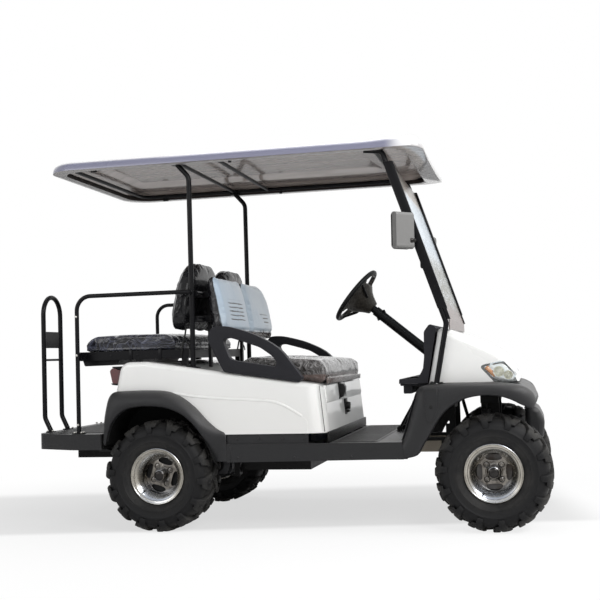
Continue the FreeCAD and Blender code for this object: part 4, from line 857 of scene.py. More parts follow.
# --- mesh making ------------------------------------------------------------------------------
class Form:
    """A mesh in the making, in millimetres: X ahead of the rear axle, Y left, Z up."""

    AHEAD = 0.604263

    def __init__(self) -> None:
        """Start empty."""
        self.bm = bmesh.new()

    @classmethod
    def block(cls, low: Point, high: Point, bevel: float = 0.0, segments: int = 2) -> "Form":
        """Box with rounded edges.

        Args:
            low: one corner.
            high: the opposite corner.
            bevel: width of the rounding.
            segments: its steps.

        Returns:
            The box.
        """
        form, low, high = cls(), Vector(low), Vector(high)
        bmesh.ops.create_cube(form.bm, size=1.0)
        form.place(Matrix.Translation((low + high) / 2) @ Matrix.Diagonal((*(high - low), 1.0)))
        return form.rounded(bevel, segments)

    @classmethod
    def bar(cls, start: Point, end: Point, radius: float, end_radius: float | None = None,
            sides: int = 24, bevel: float = 0.0) -> "Form":
        """Round, hexagonal or tapered bar.

        Args:
            start: middle of one end.
            end: middle of the other.
            radius: radius at the start.
            end_radius: radius at the end, where it differs.
            sides: flats round the bar.
            bevel: rounding of its rims.

        Returns:
            The bar.
        """
        form, start, end = cls(), Vector(start), Vector(end)
        bmesh.ops.create_cone(form.bm, cap_ends=True, segments=sides, radius1=radius,
                              radius2=radius if end_radius is None else end_radius,
                              depth=(end - start).length)
        turn = (end - start).to_track_quat("Z", "Y").to_matrix().to_4x4()
        form.place(Matrix.Translation((start + end) / 2) @ turn)
        return form.rounded(bevel)

    @classmethod
    def turned(cls, profile: Sequence[tuple[float, float]], steps: int = 64) -> "Form":
        """Open profile spun once round the Y axis.

        Args:
            profile: (radius, along) places.
            steps: divisions of the turn.

        Returns:
            The turned form.
        """
        form = cls()
        places = [form.bm.verts.new((radius, along, 0.0)) for radius, along in profile]
        edges = [form.bm.edges.new(pair) for pair in zip(places, places[1:])]
        bmesh.ops.spin(form.bm, geom=[*places, *edges], axis=(0, 1, 0), cent=(0, 0, 0),
                       angle=2 * math.pi, steps=steps, use_merge=True)
        return form.closed()

    @classmethod
    def wedge(cls, profile: Sequence[tuple[float, float]], degrees: float,
              steps: int = 2) -> "Form":
        """Closed profile spun a little way round the Y axis.

        Args:
            profile: (radius, along) places.
            degrees: how far it is spun.
            steps: divisions of the way.

        Returns:
            The wedge, with its middle at no turn.
        """
        form = cls()
        face = form.bm.faces.new([form.bm.verts.new((r, along, 0.0)) for r, along in profile])
        bmesh.ops.spin(form.bm, geom=[*form.bm.verts, *form.bm.edges, face], axis=(0, 1, 0),
                       cent=(0, 0, 0), angle=math.radians(degrees), steps=steps)
        return form.place(turned_by(-degrees / 2)).closed()

    @classmethod
    def panel(cls, outline: Sequence[Sequence[float]], y0: float, y1: float,
              bevel: float = 0.0, segments: int = 2) -> "Form":
        """Outline seen from the side, given a width.

        Args:
            outline: (x, z) or (x, z, rounding) corners.
            y0: one face.
            y1: the other face.
            bevel: rounding of the edges between the faces and the rim.
            segments: steps of that rounding.

        Returns:
            The panel.
        """
        form = cls()
        face = form.bm.faces.new([form.bm.verts.new((c[0], y0, c[1])) for c in outline])
        made = bmesh.ops.extrude_face_region(form.bm, geom=[face])["geom"]
        bmesh.ops.translate(form.bm, vec=(0, y1 - y0, 0),
                            verts=[v for v in made if isinstance(v, bmesh.types.BMVert)])
        form.closed()
        for x, z, rounding in (c for c in outline if len(c) > 2):
            across = [e for e in form.bm.edges if all(
                (v.co.xz - Vector((x, z))).length < TOUCH for v in e.verts)]
            bmesh.ops.bevel(form.bm, geom=across, offset=rounding, segments=7, profile=0.5,
                            affect="EDGES", material=-1)
        return form.rounded(bevel, segments)

    @classmethod
    def pipe(cls, route: Sequence[Point], radius: float, sides: int = 6,
             divide: int = 8) -> "Form":
        """Round bar along a smooth curve.

        Args:
            route: points that pull the curve.
            radius: the bar's radius.
            sides: steps of its section.
            divide: steps between two points.

        Returns:
            The bar.
        """
        curve = bpy.data.curves.new("pipe", "CURVE")
        curve.dimensions, curve.resolution_u = "3D", divide
        curve.bevel_depth, curve.bevel_resolution, curve.use_fill_caps = radius, sides, True
        line = curve.splines.new("NURBS")
        line.points.add(len(route) - 1)
        for point, place in zip(line.points, route):
            point.co = (*place, 1.0)
        line.order_u, line.use_endpoint_u = 3, True
        return cls.taken(bpy.data.objects.new("pipe", curve))

    @classmethod
    def lofted(cls, rows: Sequence[Sequence[Point]]) -> "Form":
        """Skin over rows of places.

        Args:
            rows: the first row's edges are drawn on from row to row.

        Returns:
            The open skin.
        """
        form = cls()
        line = [form.bm.verts.new(place) for place in rows[0]]
        for pair in zip(line, line[1:]):
            form.bm.edges.new(pair)
        for row in rows[1:]:
            line = form.drawn(line, row)
        return form

    def drawn(self, line: Sequence[bmesh.types.BMVert], places: Sequence[Point],
              tint: int = 0) -> list[bmesh.types.BMVert]:
        """Extrude a line of corners to new places.

        Args:
            line: corners in their order.
            places: where each one's copy goes.
            tint: finish of the new faces.

        Returns:
            The new corners in the same order.
        """
        along = {e for v in line for e in v.link_edges if e.is_boundary or e.is_wire}
        along = [e for e in along if set(e.verts) <= set(line)]
        made = bmesh.ops.extrude_edge_only(self.bm, edges=along)["geom"]
        fresh = {v for v in made if isinstance(v, bmesh.types.BMVert)}
        for face in (f for f in made if isinstance(f, bmesh.types.BMFace)):
            face.material_index = tint
        ahead = [next(e.other_vert(v) for e in v.link_edges if e.other_vert(v) in fresh)
                 for v in line]
        for vert, place in zip(ahead, places):
            vert.co = Vector(place)
        return ahead

    @classmethod
    def taken(cls, source: bpy.types.Object) -> "Form":
        """Mesh of an object as its modifiers leave it.

        Args:
            source: object outside the scene; it is removed.

        Returns:
            The form.
        """
        bpy.context.scene.collection.objects.link(source)
        shown = source.evaluated_get(bpy.context.evaluated_depsgraph_get())
        mesh = bpy.data.meshes.new_from_object(shown)
        form = cls()
        form.bm.from_mesh(mesh)
        bpy.data.meshes.remove(mesh)
        bpy.data.objects.remove(source)
        return form.closed()

    def closed(self) -> "Form":
        """Merge what touches and turn every face outwards.

        Returns:
            This form.
        """
        bmesh.ops.remove_doubles(self.bm, verts=self.bm.verts, dist=WELD)
        bmesh.ops.recalc_face_normals(self.bm, faces=self.bm.faces)
        return self

    def rounded(self, width: float, segments: int = 2, sharper: float = 30.0) -> "Form":
        """Bevel the sharp edges.

        Args:
            width: of the bevel; none at 0.
            segments: its steps.
            sharper: least turn of a sharp edge, in degrees.

        Returns:
            This form.
        """
        if width:
            edges = [e for e in self.bm.edges if len(e.link_faces) == 2
                     and e.calc_face_angle(0.0) > math.radians(sharper)]
            bmesh.ops.bevel(self.bm, geom=edges, offset=width, segments=segments, profile=0.5,
                            affect="EDGES", material=-1, clamp_overlap=True)
        return self

    def place(self, matrix: Matrix) -> "Form":
        """Move, turn, stretch or mirror.

        Args:
            matrix: the transform.

        Returns:
            This form.
        """
        bmesh.ops.transform(self.bm, matrix=matrix, verts=self.bm.verts)
        if matrix.determinant() < 0:
            bmesh.ops.reverse_faces(self.bm, faces=self.bm.faces)
        return self

    def moved(self, x: float = 0.0, y: float = 0.0, z: float = 0.0) -> "Form":
        """Shift."""
        return self.place(Matrix.Translation((x, y, z)))

    def spun(self, degrees: float) -> "Form":
        """Turn about the Z axis."""
        return self.place(Matrix.Rotation(math.radians(degrees), 4, "Z"))

    def bent(self, way: Callable[[Vector], Point]) -> "Form":
        """Send every corner of the mesh elsewhere.

        Args:
            way: gives a corner's new place.

        Returns:
            This form.
        """
        for vert in self.bm.verts:
            vert.co = Vector(way(vert.co))
        return self

    def mesh(self) -> bpy.types.Mesh:
        """The form so far.

        Returns:
            Mesh data.
        """
        mesh = bpy.data.meshes.new("form")
        self.bm.to_mesh(mesh)
        return mesh

    def plus(self, other: "Form", matrix: Matrix | None = None) -> "Form":
        """Take in another form.

        Args:
            other: it stays as it is.
            matrix: where its copy goes; it may mirror.

        Returns:
            This form.
        """
        mesh = other.mesh()
        if matrix is not None:
            mesh.transform(matrix)
            if matrix.determinant() < 0:
                mesh.flip_normals()
        self.bm.from_mesh(mesh)
        bpy.data.meshes.remove(mesh)
        return self

    def both_sides(self) -> "Form":
        """Take in the mirror image on the other flank."""
        return self.plus(self, ACROSS)

    def minus(self, cutter: "Form") -> "Form":
        """Cut away another form.

        Args:
            cutter: what is cut away.

        Returns:
            This form.
        """
        tool = added("cutter", cutter.mesh())
        stock = bpy.data.objects.new("stock", self.mesh())
        cut = stock.modifiers.new("cut", "BOOLEAN")
        cut.operation, cut.solver, cut.object = "DIFFERENCE", "EXACT", tool
        self.bm = Form.taken(stock).bm
        bpy.data.objects.remove(tool)
        return self

    def tinted(self, index: int) -> "Form":
        """Give every face one of the piece's finishes.

        Args:
            index: the finish's place in the piece's list.

        Returns:
            This form.
        """
        for face in self.bm.faces:
            face.material_index = index
        return self

    def walled(self, thickness: float, axis: int, above: float = -FAR) -> "Form":
        """Turn an open skin outwards and give it a wall.

        Args:
            thickness: of the wall.
            axis: 1 if it looks left on the whole, 2 if it looks up.
            above: only faces higher than this are asked.

        Returns:
            This form.
        """
        faces = self.bm.faces
        out = sum(f.normal[axis] * f.calc_area() for f in faces
                  if f.calc_center_median().z > above)
        if out < 0:
            bmesh.ops.reverse_faces(self.bm, faces=faces)
        bmesh.ops.solidify(self.bm, geom=faces[:], thickness=thickness)
        return self

    def piece(self, name: str, finishes: "Kit | Sequence[Kit]", body: str,
              replaces: Sequence[str] = (), crease: float = 32.0,
              slot: str | None = None) -> bpy.types.Object:
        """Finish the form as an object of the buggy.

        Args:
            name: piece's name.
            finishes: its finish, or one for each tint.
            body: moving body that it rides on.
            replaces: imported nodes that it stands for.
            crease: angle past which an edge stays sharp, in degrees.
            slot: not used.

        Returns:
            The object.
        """
        self.place(Matrix.Translation((-self.AHEAD, 0, 0)) @ Matrix.Scale(MILLI, 4))
        mesh = bpy.data.meshes.new(name)
        self.bm.to_mesh(mesh)
        self.bm.free()
        mesh.shade_smooth()
        mesh.set_sharp_from_angle(angle=math.radians(crease))
        for finish in ([finishes] if isinstance(finishes, Kit) else finishes):
            mesh.materials.append(finish.value.material())
        made = added(name, mesh)
        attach(made, body)
        if replaces:
            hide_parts(*replaces)
        log.info("%s: %d faces", name, len(mesh.polygons))
        return made


# --- seats ------------------------------------------------------------------------------------
@dataclass
class Pad:
    """Padding under a clear film: a closed form, swollen by a short cloth simulation."""

    name: str
    nodes: tuple[str, ...]
    finish: Kit
    body: str = "buggy"
    cap: float = 13.0
    voxel: float = 6.0
    pressure: float = 4.0
    fill: float = 0.7
    crumple: float = 1.2
    crown: float = 10.0
    through: int = 2
    both_faces: bool = False
    frames: int = 20
    low: Point = (-FAR, -FAR, -FAR)
    high: Point = (FAR, FAR, FAR)

    def swollen(self, form: Form) -> Form:
        """Remesh the form evenly and let air pressure fill it, up to the cap.

        Args:
            form: closed starting shape, a little smaller than the pad.

        Returns:
            The filled shape.
        """
        block = bpy.data.objects.new("pad", form.mesh())
        remesh = block.modifiers.new("even", "REMESH")
        remesh.mode, remesh.voxel_size = "VOXEL", self.voxel
        form = self.crowned(Form.taken(block))
        scene = bpy.context.scene
        skin = added("skin", form.mesh())
        skin.data.transform(Matrix.Scale(MILLI, 4))
        cloth = skin.modifiers.new("air", "CLOTH")
        cloth.settings.use_pressure = True
        cloth.settings.uniform_pressure_force = self.pressure
        cloth.settings.effector_weights.gravity = 0.0
        cloth.settings.quality = 4
        cloth.point_cache.frame_start, cloth.point_cache.frame_end = 1, self.frames
        for frame in range(1, self.frames + 1):
            scene.frame_set(frame)
        shown = skin.evaluated_get(bpy.context.evaluated_depsgraph_get()).data
        for vert, end in zip(form.bm.verts, shown.vertices):
            push = Vector(end.co) * 1000.0 - vert.co
            vert.co += push * min(1.0, self.cap / max(push.length, 1e-6))
        bpy.data.objects.remove(skin)
        scene.frame_set(1)
        return form

    def crowned(self, form: Form) -> Form:
        """Thin the form towards its edges.

        Args:
            form: evenly remeshed shape; it thins from its upper or forward face, or from both.

        Returns:
            This form.
        """
        form.bm.normal_update()
        sides = [k for k in range(3) if k != self.through]
        spans = {k: [min(v.co[k] for v in form.bm.verts), max(v.co[k] for v in form.bm.verts)]
                 for k in sides}
        for vert in form.bm.verts:
            reach = sum(((2 * vert.co[k] - a - b) / (b - a)) ** 2 for k, (a, b) in spans.items())
            face = vert.normal[self.through]
            face = face if self.both_faces else max(face, 0.0)
            vert.co[self.through] -= self.crown * face * min(reach, 1.5) / 1.5
        return form

    def sewn(self, form: Form, seams: Sequence[Seam], depth: float = 5.0,
             width: float = 9.0) -> Form:
        """Pull the surface in along seams, crumple it and keep it inside its space.

        Args:
            form: filled shape.
            seams: each gives a place's distance from one seam.
            depth: how far a seam is pulled in.
            width: half width of its hollow.

        Returns:
            The finished shape.
        """
        form.bm.normal_update()
        for vert in form.bm.verts:
            near = max((math.exp(-(seam(vert.co) / width) ** 2) for seam in seams), default=0.0)
            rough = noise.noise(vert.co / 46.0) + 0.5 * noise.noise(vert.co / 17.0)
            vert.co += vert.normal * (self.crumple * rough - depth * near)
        bmesh.ops.smooth_vert(form.bm, verts=form.bm.verts, factor=0.5, use_axis_x=True,
                              use_axis_y=True, use_axis_z=True)
        low, high = self.low, self.high
        return form.bent(lambda v: [min(max(c, a), b) for c, a, b in zip(v, low, high)])

    def build(self, form: Form, seams: Sequence[Seam]) -> None:
        """Swell, sew and finish one pad."""
        made = self.sewn(self.swollen(form), seams).piece(self.name, self.finish, self.body,
                                                         self.nodes, 80)


@dataclass
class Seats:
    """The front bench, the rear-facing bench and their four backrests."""

    half: float = 520.0
    back_half: float = 508.0
    gap: float = 12.0
    welt_z: float = 782.0
    welt_fall: float = 0.085
    film_foot: float = 1004.0
    front_rake: tuple[Point, Point] = ((262, 356, 960), (232, 294, 1286))
    rear_rake: tuple[Point, Point] = ((20, 128, 1010), (100, 182, 1366))

    def build(self) -> None:
        """Make the benches and the backrests."""
        self.front_bench()
        self.rear_bench()
        for side, sign in (("left", 1), ("right", -1)):
            self.front_back(side, sign)
            self.rear_back(side, sign)
        self.trim()

    def front_bench(self) -> None:
        """Front cushion: a low dark band, a welt and a crowned top, and the film's hem below."""
        pad = Pad("front_bench_pad", ("front_seat_cushion",), Kit.BENCH_FILM, "seat_lid", 12,
                  crumple=2.0, low=(392, -524, 712.5), high=(872, 524, 886))
        form = Form.panel([(414, 794, 8), (414, 856, 34), (846, 828, 34), (852, 722, 8)],
                          -self.half + 12, self.half - 12, 20, 4)
        pad.build(form, [lambda v: v.z - self.welt_z + (v.x - 396) * self.welt_fall,
                         lambda v: v.y if v.z > 800 else NO_SEAM])
        hem = Form.panel([(850, 714, 1), (857, 713.5, 1.5), (859, 740, 2), (850, 742, 2)],
                         -self.half + 22, self.half - 40, 2)
        hem.piece("front_bench_hem", Kit.BENCH_FILM, "seat_lid", slot="seat_vinyl")

    def rear_bench(self) -> None:
        """Rear cushion, round-ended, with two channels sewn across it."""
        pad = Pad("rear_bench_pad", ("rear_seat_cushion",), Kit.REAR_FILM, cap=10, crumple=1.0,
                  low=(-446, -524, 908.4), high=(92, 524, 1004))
        form = Form.panel([(-432, 909, 6), (-432, 988, 68), (76, 988, 60), (76, 909, 6)],
                          -self.half + 12, self.half - 12, 28, 5)
        pad.build(form, [lambda v: v.z - 926, lambda v: v.x + 268 if v.z > 950 else NO_SEAM])

    def leaned(self, rake: tuple[Point, Point], outline: Sequence[Point], sign: float,
               inset: float) -> Form:
        """Backrest seen from ahead, given its thickness and its rake.

        Args:
            rake: (rear x, front x, z) at two heights.
            outline: (y, z, rounding) corners.
            sign: 1 on the left, -1 on the right.
            inset: room for the padding at the front and the rear.

        Returns:
            The closed form.
        """
        (rear0, front0, z0), (rear1, front1, z1) = rake

        def lean(v: Vector) -> Point:
            """Put a corner of the flat outline into the leaning back."""
            share = (v.z - z0) / (z1 - z0)
            rear = rear0 + (rear1 - rear0) * share + inset
            front = front0 + (front1 - front0) * share - inset
            return rear + (front - rear) * v.y, v.x, v.z
        turned = [(sign * y, z, r) for y, z, r in outline]
        form = Form.panel(turned, 0.0, 1.0).bent(lean)
        return form.closed().rounded(20.0, 4, 50)

    def front_back(self, side: str, sign: float) -> None:
        """Forward-facing backrest.

        Args:
            side: left or right.
            sign: 1 on the left, -1 on the right.
        """
        a, b = self.gap, self.back_half - 6
        shoulder = 46 if side == "right" else 150
        form = self.leaned(self.front_rake, [(a, 960, 30), (a, 1282, 46), (b, 1282, shoulder),
                                             (b, 960, 70)], sign, 8)
        pad = Pad(f"front_back_pad_{side}", ("front_seat_backs",), Kit.BACK_FILM, cap=12,
                  crumple=0.9, crown=12, through=0, low=(226, -516, 950), high=(360, 516, 1294))
        pad.build(form, [lambda v: v.z - self.film_foot if v.x > 300 else NO_SEAM])

    def rear_back(self, side: str, sign: float) -> None:
        """Rear-facing backrest, round-shouldered.

        Args:
            side: left or right.
            sign: 1 on the left, -1 on the right.
        """
        a, b = self.gap + 6, self.back_half - 6
        form = self.leaned(self.rear_rake, [(a, 1006, 60), (a, 1368, 165), (b, 1368, 150),
                                            (b, 1006, 80)], sign, 2)
        pad = Pad(f"rear_back_pad_{side}", ("rear_seat_backs",), Kit.SHELL_FILM, cap=12,
                  crumple=0.4, crown=14, through=0, both_faces=True, low=(12, -516, 998),
                  high=(190, 516, 1378))
        pad.build(form, [lambda v: v.x - 92 - (v.z - 1016) * 0.17])

    def trim(self) -> None:
        """Bolts and plates on the seat beams, and the straps behind the rear bench's ends."""
        bolts = Form()
        for x in (-440, -286, -140, 100):
            bolts.plus(Form.bar((x, -501.5, 885), (x, -494, 885), 6.5, 5.5, 14, 1.0))
        for x in (-176, -16):
            bolts.plus(Form.block((x - 9, -504, 856), (x + 9, -499.5, 912), 1.5))
        bolts.both_sides().tinted(0)
        straps = Form.pipe([(124, -490, 1022), (126, -503, 992), (112, -506, 936),
                            (98, -503, 862)], 4.5)
        straps.plus(Form.pipe([(119, -505, 958), (134, -508, 944), (149, -508, 922),
                               (153, -504, 900)], 3.5))
        bolts.plus(straps.both_sides().tinted(1))
        bolts.piece("bench_trim", (Kit.TUBE, Kit.GRIP), "buggy", slot="tube_black")


# --- canopy, screen and mirrors -----------------------------------------------------------------
@dataclass
class Canopy:
    """Moulded canopy: crowned top, upright rim, turned-in lip, blunt nose and glossy ceiling."""

    rear: float = -599.0
    front: float = 1373.0
    half: float = 604.5
    rim_z: float = 1851.0
    top_z: float = 1948.5
    droop: float = 26.0
    middle: float = 380.0
    front_round: float = 100.0
    rear_round: float = 150.0

    def sheet(self, shrink: float = 0.0, ahead: float = 0.0) -> Form:
        """Flat grid with the canopy's outline from above, finer towards its edges.

        Args:
            shrink: how far the outline lies in.
            ahead: how much more it lies in at the nose.

        Returns:
            The grid.
        """
        form, y1 = Form(), self.half - shrink
        x0, x1 = self.rear + shrink, self.front - shrink - ahead
        bmesh.ops.create_grid(form.bm, x_segments=48, y_segments=34, size=1.0)

        def spread(v: Vector) -> Point:
            """Move a grid point outwards, and round the corners."""
            u, w = (math.copysign(1 - (1 - abs(c)) ** 2.1, c) for c in (v.x, v.y))
            x, y = (x0 + x1) / 2 + u * (x1 - x0) / 2, w * y1
            r = self.corner(x) - shrink * 0.5
            a, b = (max(x - x1 + r, x0 + r - x) / r, (abs(y) - y1 + r) / r)
            if a > 0 and b > 0:
                a, b = a * math.sqrt(1 - b * b / 2), b * math.sqrt(1 - a * a / 2)
                x = x1 - r + a * r if x > self.middle else x0 + r - a * r
                y = math.copysign(y1 - r + b * r, y)
            return x, y, 0.0
        return form.bent(spread)

    def corner(self, x: float) -> float:
        """Radius of the outline's corners at the nearer end."""
        return self.front_round if x > self.middle else self.rear_round

    def away(self, x: float, y: float) -> float:
        """Distance in from the outline.

        Args:
            x: place along.
            y: place across.

        Returns:
            The distance.
        """
        r = self.corner(x)
        a, b = max(x - self.front, self.rear - x) + r, abs(y) - self.half + r
        return r - math.hypot(max(a, 0.0), max(b, 0.0)) if max(a, b) > 0 else r - max(a, b)

    def sink(self, x: float, y: float) -> float:
        """How much of the nose's droop acts at a place, 0 to 1."""
        return eased(part_way(x, 1200, 1350)) * max(0.0, 1.0 - (abs(y) / 590.0) ** 3)

    def shell(self) -> Form:
        """Top skin, then its rim, foot and lip drawn on from its edge.

        Returns:
            The open shell.
        """
        form = self.sheet()

        def raised(v: Vector) -> Point:
            """Lift a point of the sheet to the rounded rim or the crowned top."""
            away, sink = self.away(v.x, v.y), self.sink(v.x, v.y)
            sweep = 44.0 + 20.0 * part_way(v.x, 1100, 1350)
            rise = sweep * math.sqrt(max(0.0, 1.0 - (1.0 - min(away / sweep, 1.0)) ** 2))
            level = self.rim_z + 4 - self.droop * sink + rise
            summit = self.top_z - 28 * (v.y / self.half) ** 2 - 30 * max(
                (v.x - self.middle) / 990, (self.middle - v.x) / 1100, 0.0) ** 2.4
            share = eased(part_way(away, 18, 278))
            return v.x, v.y, level + max(0.0, summit - level) * share
        form.bent(raised)
        line = [v for v in form.bm.verts if v.is_boundary]
        outline = [v.co.copy() for v in line]
        for tint, side, ahead, z in ((0, 0.0, 0.0, 0.0), (1, 9.0, 12.0, -3.5),
                                     (1, 57.0, 96.0, -2.0), (2, 59.0, 98.0, 3.0),
                                     (2, 60.0, 99.0, 20.0)):
            line = form.drawn(line, [self.drawn_in(v, side, ahead, z) for v in outline], tint)
        return form

    def drawn_in(self, place: Vector, side: float, ahead: float, z: float) -> Vector:
        """A place on the outline moved inwards, and off the rim's level.

        Args:
            place: on the outline.
            side: how far in at the sides and the rear.
            ahead: how far in at the nose.
            z: height over the rim.

        Returns:
            The new place.
        """
        middle, length = (self.front + self.rear) / 2, (self.front - self.rear) / 2
        share = (place.x - middle) / length
        inset = share * (ahead if share > 0 else side)
        sink = self.sink(place.x, place.y) * max(0.0, 1.0 - side / 70.0)
        return Vector((place.x - inset, place.y * (1 - side / self.half),
                       self.rim_z + z - self.droop * sink))

    def ceiling(self) -> Form:
        """Glossy inner skin with its moulded recess.

        Returns:
            The skin, facing down.
        """
        liner = self.sheet(57.0, 40.0)

        def raised(v: Vector) -> Point:
            """Lift a point of the sheet to the ceiling, higher in the recess."""
            out = max(-v.x - 430.0, v.x - 1050.0, 1.25 * (abs(v.y) - 330.0))
            recess = part_way(-out, 0, 34)
            away = part_way(self.away(v.x, v.y), 57, 117)
            dome = 8 * (1 - (v.y / self.half) ** 2)
            return v.x, v.y, (self.rim_z + 19 + 22 * away ** 0.5 + dome * away
                              + 15 * eased(recess))
        liner.bent(raised)
        bmesh.ops.reverse_faces(liner.bm, faces=liner.bm.faces)
        return liner.tinted(3)

    def build(self) -> None:
        """Make the canopy, then the clips of its frame."""
        shell = self.shell()
        bmesh.ops.recalc_face_normals(shell.bm, faces=shell.bm.faces)
        shell.plus(self.ceiling()).piece(
            "canopy_shell", (Kit.CANOPY, Kit.CANOPY_UNDER, Kit.LIP, Kit.CEILING), "buggy",
            ("roof_canopy",), 50)
        clips = Form()
        for x in (-350, -334, 396):
            clips.plus(Form.block((x - 9, 541, 1842), (x + 9, 545.5, 1876), 1.5))
            clips.plus(Form.block((x - 9, 528, 1872), (x + 9, 545, 1877), 1.5))
            clips.plus(Form.bar((x, 544, 1855), (x, 549, 1855), 6, 6, 6, 1))
        clips.both_sides().piece("canopy_clips", Kit.TUBE, "buggy", slot="tube_black")


@dataclass
class Screen:
    """Edge channels, foot trims and knobs of the windshield."""

    knee: tuple[float, float] = (1453.0, 992.0)
    lean: float = 0.332
    half: float = 530.0

    def along(self, z: float, out: float) -> tuple[float, float]:
        """A place square off the post's middle at a height."""
        return self.knee[0] - (z - self.knee[1]) * self.lean + out * 1.054, z

    def build(self) -> None:
        """Make the channels and the knobs."""
        low, high = 1062.0, 1792.0
        form = Form.panel([self.along(low, -14), self.along(low, 30), self.along(high, 34),
                           self.along(high, -14)], self.half - 12, self.half + 17, 3)
        foot = Form.panel([self.along(1010, 10), self.along(1010, 26), self.along(1075, 26),
                           self.along(1075, 10)], self.half - 10, self.half + 14, 2)
        form.plus(foot)
        for z in (1110, 1330, 1560, 1720):
            (x0, _), (x1, _) = self.along(z, 24), self.along(z, 41)
            y = self.half - 10
            form.plus(Form.bar((x0 - 4, y, z), (x1 - 11, y, z + 2), 6, 5, 16, 1))
        form.both_sides().piece("screen_channels", Kit.TUBE, "buggy", slot="tube_black")


@dataclass
class Mirrors:
    """Faces of the side mirrors: dark bezel, glass and ball joint."""

    place: Point = (1268.0, 612.0, 1448.0)
    turn: float = 42.0

    def build(self) -> None:
        """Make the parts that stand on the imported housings."""
        outline = [(-56.8, -97, 20), (56.8, -97, 20), (56.8, 81, 18), (-56.8, 81, 18)]
        bezel = Form.panel(outline, 0, 12, 3).spun(-90)
        pane = [(-50, -90, 14), (50, -90, 14), (50, 74, 14), (-50, 74, 14)]
        bezel = bezel.minus(Form.panel(pane, 6, 30).spun(-90)).tinted(0)
        bezel.plus(Form.panel(pane, 3, 6.4, 0.6).spun(-90).tinted(1))
        bezel.bent(lambda v: (-10 - v.x + (v.z + 96) * 0.022, v.y, v.z)).closed()
        made = bezel.spun(self.turn).moved(*self.place)
        joint = Form.bar((1296, 596, 1392), (1320, 566, 1392), 15, 13, 24, 4)
        joint.plus(Form.bar((1290, 600, 1386), (1290, 600, 1372), 8, 7, 16, 2))
        made.plus(joint.tinted(2)).both_sides().piece(
            "mirror_faces", (Kit.GRIP, Kit.MIRROR, Kit.CAP), "buggy", slot="mirror_housing")


# --- panels, lamps and fittings -----------------------------------------------------------------
@dataclass
class Armrests:
    """Moulded armrest loops."""

    outline: tuple = ((736, 728.6, 6), (754, 746, 12), (652, 884, 30), (595, 926, 30),
                      (511, 970, 30), (433, 997, 30), (345, 1020, 40), (290, 1008, 34),
                      (269, 956, 22), (338, 815, 20), (354, 786.6, 8))
    hole: tuple = ((350, 950, 22), (392, 955, 14), (462, 932, 16), (544, 902, 16), (605, 857, 12),
                   (628, 824, 12), (618, 806, 9), (404, 842, 18), (382, 858, 14))

    def loop(self, fall: float) -> Form:
        """One loop.

        Args:
            fall: share by which its upper part is lower.

        Returns:
            The loop on the left.
        """
        form = Form.panel(self.outline, 557, 603.4).minus(Form.panel(self.hole, 500, 650))
        form.rounded(9.0, 4, 60)
        return form.bent(lambda v: (v.x, v.y, v.z - fall * max(0.0, v.z - 790.0)))

    def build(self) -> None:
        """Make both loops."""
        pair = self.loop(0.16).plus(self.loop(0.0), ACROSS)
        pair.piece("armrest_loops", Kit.DARK_TRIM, "buggy", ("armrests",), 40)


@dataclass
class SeatBase:
    """Fittings of the seat base: step moulding, seams, pull, covered socket and skirt."""

    def face_x(self, z: float) -> float:
        """Front of the sloping panel at a height."""
        return 864.0 - (z - 478.0) * 0.0935

    def build(self) -> None:
        """Make the fittings."""
        x = self.face_x
        plate = Form.panel([(x(706) - 6, 706), (x(706) + 4, 706), (x(638) + 5, 638),
                            (x(616) - 1, 616), (x(616) - 6, 616)], -516, 516, 2)
        plate.tinted(0)
        dark = Form.pipe([(x(712) + 3, 2, 712), (x(670) + 5.5, 2, 670),
                          (x(632) + 4.5, 2, 632)], 2.2)
        for side in (1, -1):
            dark.plus(Form.pipe([(x(z) - 13.5, side * 577, z) for z in (708, 640, 560, 484)], 1.6))
        dark.plus(Form.block((x(480) - 4, -565, 434), (x(480) + 6, 565, 482), 2))
        pull = Form.panel([(0, -34, 10), (20, -38, 12), (34, -6, 14), (34, 26, 12), (18, 38, 12),
                           (0, 34, 4)], -22, 22, 6, 3)
        pull.plus(Form.panel([(-2, -44, 4), (5, -44, 3), (5, 44, 3), (-2, 44, 4)], -27, 27, 2))
        dark.plus(pull.moved(x(668) + 4, -160, 668))
        socket = Form.panel([(-2, -42, 3), (7, -42, 3), (7, 42, 3), (-2, 42, 3)], -30, 30, 2.5)
        socket.plus(Form.bar((4, 0, 4), (27, 0, 2), 22, 19, 28, 3))
        socket.plus(Form.panel([(8, -34, 6), (26, -30, 6), (24, -20, 4), (8, -18, 3)], -16, 16, 3))
        dark.plus(socket.moved(x(578), -22, 578)).tinted(1)
        plate.plus(dark).piece("seat_base_fittings", (Kit.WHITE, Kit.GRIP), "buggy",
                               slot="trim_charcoal")


